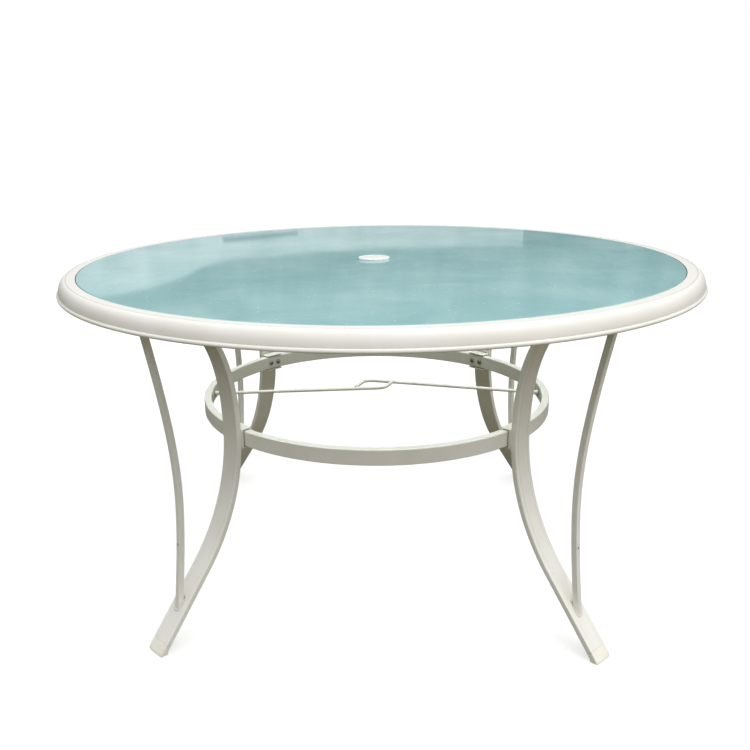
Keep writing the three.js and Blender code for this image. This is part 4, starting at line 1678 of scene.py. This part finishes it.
    def cone(self, line: np.ndarray) -> Surface:
        """The cone round the rod's start: a tube that flares from its tip's radius to its base's by given shares.

        Args:
            line: the rod's stations.

        Returns:
            A closed surface.
        """
        direction = line[1] - line[0]
        direction = direction / np.linalg.norm(direction)
        share = np.array(self.cone_shares)
        centre = line[0] + direction * (self.cone_offset + share * self.cone_length)[:, None]
        radius = self.cone_tip + (self.cone_base - self.cone_tip) * np.array(self.cone_flares)
        return tube(centre, radius, UPRIGHT, self.sides, False)

    def lump(self, place: np.ndarray, direction: np.ndarray) -> Surface:
        """A lump of weld: a short tube along a direction whose radius swells as a half ellipse does.

        Args:
            place: the middle of the weld.
            direction: the rod's direction there.

        Returns:
            A closed surface.
        """
        share = np.linspace(-1.0, 1.0, self.weld_stations)
        centre = place + direction / np.linalg.norm(direction) * (share * self.rod_radius)[:, None]
        swell = self.weld_swell * np.sqrt(np.clip(1 - share**2, 0.0, 1.0))
        return tube(centre, self.rod_radius * (self.weld_base + swell), UPRIGHT, self.sides, False)


# The bright card's wavy top from left to right, and the small flag's outline, as X and height.
CARD_TOP = (
    (-2600.0, 1480.0), (-1681.0, 1397.0), (-1523.0, 1374.0), (-1365.0, 1345.0),
    (-1207.0, 1297.0), (-1120.0, 1266.0), (-1049.0, 1226.0), (-955.0, 1191.0),
    (-803.0, 1169.0), (-620.0, 1160.0), (-441.0, 1143.0), (-143.0, 1129.0),
    (80.0, 1120.0), (329.0, 1115.0), (620.0, 1117.0), (868.0, 1122.0),
)
SMALL_FLAG = (
    (-904.0, 1042.0), (-700.0, 1030.0), (-449.0, 1013.0),
    (-449.0, 1031.0), (-640.0, 1052.0), (-888.0, 1072.0),
)


def lit(colour: Triple, level: float) -> Rgba:
    """Dims or brightens a linear colour and gives it an alpha of one."""
    return (*(channel * level for channel in colour), 1.0)


@dataclass(frozen=True)
class Card:
    """An upright glowing card behind the table that only glossy surfaces see.

    Tall soft streaks run between its two levels, as trees and a wall give, and fade to a share at its right end.
    """

    name: str
    outline: tuple[Pair, ...]
    distance: float
    colour: Triple
    levels: Pair
    right_share: float = 1.0
    streak_squeeze: float = 0.3
    streak_scale: float = 7.0
    streak_places: Pair = (0.35, 0.7)
    fade_places_m: Pair = (-0.3, 0.9)

    def build(self) -> None:
        """Makes the card."""
        corners = np.array([(across, self.distance, height) for across, height in self.outline])
        mesh = bpy.data.meshes.new(self.name)
        mesh.from_pydata((corners * METRES_PER_MM).tolist(), [], [list(range(len(corners)))])
        card = bpy.data.objects.new(self.name, mesh)
        bpy.context.scene.collection.objects.link(card)
        mesh.materials.append(self.material())
        card.visible_camera = False
        card.visible_diffuse = False
        card.visible_shadow = False
        card.visible_transmission = False

    def material(self) -> bpy.types.Material:
        """Builds the card's glow.

        Returns:
            The material.
        """
        material, nodes = new_material(self.name)
        place = nodes.add("ShaderNodeTexCoord").outputs["Object"]
        tall = nodes.add("ShaderNodeMapping", {"Vector": place}, {"Scale": (1.0, 1.0, self.streak_squeeze)})
        streaks = nodes.add(
            "ShaderNodeTexNoise",
            {"Vector": tall.outputs["Vector"]},
            {"Scale": self.streak_scale, "Detail": 5.0},
        )
        level = nodes.add(
            "ShaderNodeMapRange",
            {"Value": streaks.outputs["Fac"]},
            dict(zip(MAP_SOCKETS, (*self.streak_places, *self.levels))),
        )
        across = nodes.add("ShaderNodeSeparateXYZ", {0: place})
        fade = nodes.add(
            "ShaderNodeMapRange",
            {"Value": across.outputs["X"]},
            dict(zip(MAP_SOCKETS, (*self.fade_places_m, 1.0, self.right_share))),
        )
        strength = nodes.add(
            "ShaderNodeMath",
            {0: level.outputs["Result"], 1: fade.outputs["Result"]},
            operation="MULTIPLY",
        )
        glow = nodes.add("ShaderNodeEmission", {"Strength": strength.outputs[0]}, {"Color": lit(self.colour, 1.0)})
        nodes.add("ShaderNodeOutputMaterial", {"Surface": glow.outputs[0]})
        return material


@dataclass
class Studio:
    """Camera, floor, light and surroundings.

    Lengths are in millimetres and colours are linear. The sky's places run from 0, straight down, to 1, straight up.
    """

    image_width: float = 750.0
    sensor_mm: float = 36.0
    camera_place: Triple = (0.22, -1825.28, 1002.21)
    yaw_deg: float = -3.604
    pitch_deg: float = 16.839
    roll_deg: float = -1.268
    focal_px: float = 812.30
    centre_px: float = 325.70
    clip_start_m: float = 0.05
    clip_end_m: float = 100.0
    sky_top: float = 1.06
    sky_top_colour: Triple = (0.975, 0.99, 1.0)
    bright_edge: float = 0.96
    bright_edge_colour: Triple = (1.0, 0.955, 0.89)
    dark_edge: float = 0.07
    dark_edge_colour: Triple = (0.95, 1.0, 0.75)
    haze: float = 0.15
    haze_colour: Triple = (1.0, 1.0, 0.85)
    ground_light: float = 0.1
    ground_colour: Triple = (0.92, 0.90, 0.62)
    bright_sky_places: tuple[float, ...] = (0.0, 0.48, 0.52, 0.75)
    shaded_sky_places: tuple[float, ...] = (0.0, 0.48, 0.52, 0.59, 0.73)
    bright_side: Triple = (0.74, -0.67, 0.0)
    side_places: Pair = (-0.3, 0.8)
    floor_half: float = 12000.0
    floor_seen: float = 0.55
    floor_glow: float = 0.6
    floor_bounce: Triple = (0.106, 0.097, 0.05)
    key_place: Triple = (1900.0, -2200.0, 4200.0)
    key_target: Triple = (0.0, 0.0, 400.0)
    key_diameter: float = 3000.0
    key_watts: float = 50.0
    key_colour: Triple = (1.0, 0.985, 0.96)
    under_glass_radius: float = 470.0
    under_glass_height: float = 702.0
    under_glass_watts: float = 2.0
    under_glass_colour: Triple = (0.95, 1.0, 0.95)
    under_glass_spread_deg: float = 80.0
    card_distance: float = 3000.0
    flag_gap: float = 200.0
    small_flag_gap: float = 20.0
    card_foot: float = 100.0
    card_left: float = -2600.0
    card_right: float = 866.0
    flag_half: float = 6000.0
    flag_top: float = 2600.0
    card_colour: Triple = (0.95, 0.99, 1.0)
    flag_colour: Triple = (0.85, 1.0, 1.0)
    card_levels: Pair = (0.5, 0.66)
    flag_levels: Pair = (0.02, 0.17)
    small_flag_levels: Pair = (0.01, 0.03)
    card_right_share: float = 0.6

    def build(self) -> None:
        """Makes everything round the table."""
        self.camera()
        self.world()
        self.floor()
        self.lamps()
        self.reflections()

    def camera(self) -> None:
        """Puts the camera where the photograph was taken.

        Its axes are the level right turned by the yaw, the view direction lowered by the pitch, and their cross
        product, and both turn about the view direction by the roll.
        """
        yaw, pitch, roll = (math.radians(v) for v in (self.yaw_deg, self.pitch_deg, self.roll_deg))
        forward = Vector((math.sin(yaw) * math.cos(pitch), math.cos(yaw) * math.cos(pitch), -math.sin(pitch)))
        level = Vector((math.cos(yaw), -math.sin(yaw), 0.0))
        upright = level.cross(forward)
        right = math.cos(roll) * level + math.sin(roll) * upright
        up = -math.sin(roll) * level + math.cos(roll) * upright
        data = bpy.data.cameras.new("camera")
        data.sensor_width = self.sensor_mm
        data.lens = self.focal_px / self.image_width * self.sensor_mm
        data.shift_x = (self.image_width / 2 - self.centre_px) / self.image_width
        data.clip_start = self.clip_start_m
        data.clip_end = self.clip_end_m
        camera = bpy.data.objects.new("camera", data)
        turn = Matrix((right, up, -forward)).transposed().to_4x4()
        camera.matrix_world = Matrix.Translation(Vector(self.camera_place) * METRES_PER_MM) @ turn
        bpy.context.scene.collection.objects.link(camera)
        bpy.context.scene.camera = camera

    def world(self) -> None:
        """Overcast sky: bright overhead, and low down open on one side and shaded on the other; white to the camera."""
        world = bpy.data.worlds.new("overcast")
        bpy.context.scene.world = world
        world.use_nodes = True
        world.node_tree.nodes.clear()
        nodes = NodeTree(world.node_tree)
        direction = nodes.add("ShaderNodeTexCoord").outputs["Generated"]
        split = nodes.add("ShaderNodeSeparateXYZ", {0: direction})
        height = nodes.add("ShaderNodeMapRange", {"Value": split.outputs["Z"]}, {"From Min": -1.0, "From Max": 1.0})
        top = lit(self.sky_top_colour, self.sky_top)
        ground = lit(self.ground_colour, self.ground_light)
        haze = lit(self.haze_colour, self.haze)
        bright_shades = (ground, ground, lit(self.bright_edge_colour, self.bright_edge), top)
        shaded_shades = (ground, ground, lit(self.dark_edge_colour, self.dark_edge), haze, top)
        open_side = nodes.add(
            "ShaderNodeValToRGB",
            {"Fac": height.outputs["Result"]},
            stops=tuple(zip(self.bright_sky_places, bright_shades)),
        )
        shaded_side = nodes.add(
            "ShaderNodeValToRGB",
            {"Fac": height.outputs["Result"]},
            stops=tuple(zip(self.shaded_sky_places, shaded_shades)),
        )
        facing = nodes.add("ShaderNodeVectorMath", {0: direction}, {1: self.bright_side}, operation="DOT_PRODUCT")
        share = nodes.add(
            "ShaderNodeMapRange",
            {"Value": facing.outputs["Value"]},
            dict(zip(MAP_SOCKETS, self.side_places)),
            interpolation_type="SMOOTHSTEP",
        )
        sides = nodes.add(
            "ShaderNodeMix",
            {
                MIX_SHARE: share.outputs["Result"],
                MIX_COLOUR_A: shaded_side.outputs["Color"],
                MIX_COLOUR_B: open_side.outputs["Color"],
            },
            data_type="RGBA",
        )
        sky = nodes.add("ShaderNodeBackground", {"Color": sides.outputs[MIX_COLOUR_OUT]}, {"Strength": 1.0})
        white = nodes.add("ShaderNodeBackground", values={"Color": lit(WHITE, 1.0), "Strength": 1.0})
        rays = nodes.add("ShaderNodeLightPath")
        mix = nodes.add(
            "ShaderNodeMixShader",
            {0: rays.outputs["Is Camera Ray"], 1: sky.outputs[0], 2: white.outputs[0]},
        )
        nodes.add("ShaderNodeOutputWorld", {"Surface": mix.outputs[0]})

    def floor(self) -> None:
        """A plain pale floor that the camera sees as white with the table's soft shadow on it.

        All other rays meet a dull green-brown ground, which colours what it throws back up.
        """
        half = self.floor_half
        corners = np.array([[-half, -half, 0.0], [half, -half, 0.0], [half, half, 0.0], [-half, half, 0.0]])
        mesh = bpy.data.meshes.new("floor")
        mesh.from_pydata((corners * METRES_PER_MM).tolist(), [], [[0, 1, 2, 3]])
        floor = bpy.data.objects.new("floor", mesh)
        bpy.context.scene.collection.objects.link(floor)
        material, nodes = new_material("pale_floor")
        rays = nodes.add("ShaderNodeLightPath")
        seen = nodes.add("ShaderNodeBsdfDiffuse", values={"Color": lit(WHITE, self.floor_seen)})
        glow = nodes.add("ShaderNodeEmission", values={"Color": lit(WHITE, 1.0), "Strength": self.floor_glow})
        both = nodes.add("ShaderNodeAddShader", {0: seen.outputs[0], 1: glow.outputs[0]})
        ground = nodes.add("ShaderNodeBsdfDiffuse", values={"Color": lit(self.floor_bounce, 1.0)})
        mix = nodes.add(
            "ShaderNodeMixShader",
            {0: rays.outputs["Is Camera Ray"], 1: ground.outputs[0], 2: both.outputs[0]},
        )
        nodes.add("ShaderNodeOutputMaterial", {"Surface": mix.outputs[0]})
        mesh.materials.append(material)

    def lamps(self) -> None:
        """A large soft lamp in front on the right, and a dim disc under the glass for daylight through it."""
        self.disc_lamp(
            "soft_key",
            self.key_place,
            self.key_target,
            self.key_diameter,
            self.key_watts,
            self.key_colour,
        )
        through = self.disc_lamp(
            "through_glass",
            (0.0, 0.0, self.under_glass_height),
            (0.0, 0.0, 0.0),
            2 * self.under_glass_radius,
            self.under_glass_watts,
            self.under_glass_colour,
        )
        through.data.spread = math.radians(self.under_glass_spread_deg)
        through.visible_camera = False

    @staticmethod
    def disc_lamp(
        name: str,
        place: Triple,
        target: Triple,
        diameter: float,
        watts: float,
        colour: Triple,
    ) -> bpy.types.Object:
        """Adds a round area lamp that faces a point.

        Args:
            name: the lamp's name.
            place: its centre.
            target: the point that it faces.
            diameter: its width.
            watts: its power.
            colour: its linear colour.

        Returns:
            The lamp.
        """
        data = bpy.data.lights.new(name, "AREA")
        data.shape = "DISK"
        data.size = diameter * METRES_PER_MM
        data.energy = watts
        data.color = colour
        lamp = bpy.data.objects.new(name, data)
        lamp.location = Vector(place) * METRES_PER_MM
        lamp.rotation_mode = "QUATERNION"
        lamp.rotation_quaternion = (Vector(place) - Vector(target)).to_track_quat("Z", "Y")
        bpy.context.scene.collection.objects.link(lamp)
        return lamp

    def reflections(self) -> None:
        """A dark flag far behind the table and a bright card with a wavy top before it, seen only in the glass."""
        foot, side, top = self.card_foot, self.flag_half, self.flag_top
        flag = ((-side, foot), (-side, top), (side, top), (side, foot))
        bright = ((self.card_left, foot), *CARD_TOP, (self.card_right, foot))
        far, near = self.card_distance + self.flag_gap, self.card_distance - self.small_flag_gap
        cards = (
            Card("dark_flag", flag, far, self.flag_colour, self.flag_levels),
            Card("bright_card", bright, self.card_distance, self.card_colour, self.card_levels, self.card_right_share),
            Card("small_flag", SMALL_FLAG, near, self.flag_colour, self.small_flag_levels),
        )
        for card in cards:
            card.build()


def clear_scene() -> None:
    """Empties Blender's start-up scene."""
    for thing in list(bpy.data.objects):
        bpy.data.objects.remove(thing)


def main() -> None:
    """Builds the table's looks in order."""
    logging.basicConfig(level=logging.INFO, format="%(message)s")
    clear_scene()
    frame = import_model()
    studio = Studio()
    studio.build()
    shop = Workshop(Palette.mixed(), frame["nodes"])
    TableTop().build(shop)
    BraceRing().build(shop)
    for corner in Corner:
        Leg().build(shop, corner)
        Screws().build(shop, corner)
    PoleGuide().build(shop)
    bpy.context.scene.view_settings.view_transform = "Standard"
    LOG.info("%d pieces made", shop.made)


if __name__ == "__main__":
    main()
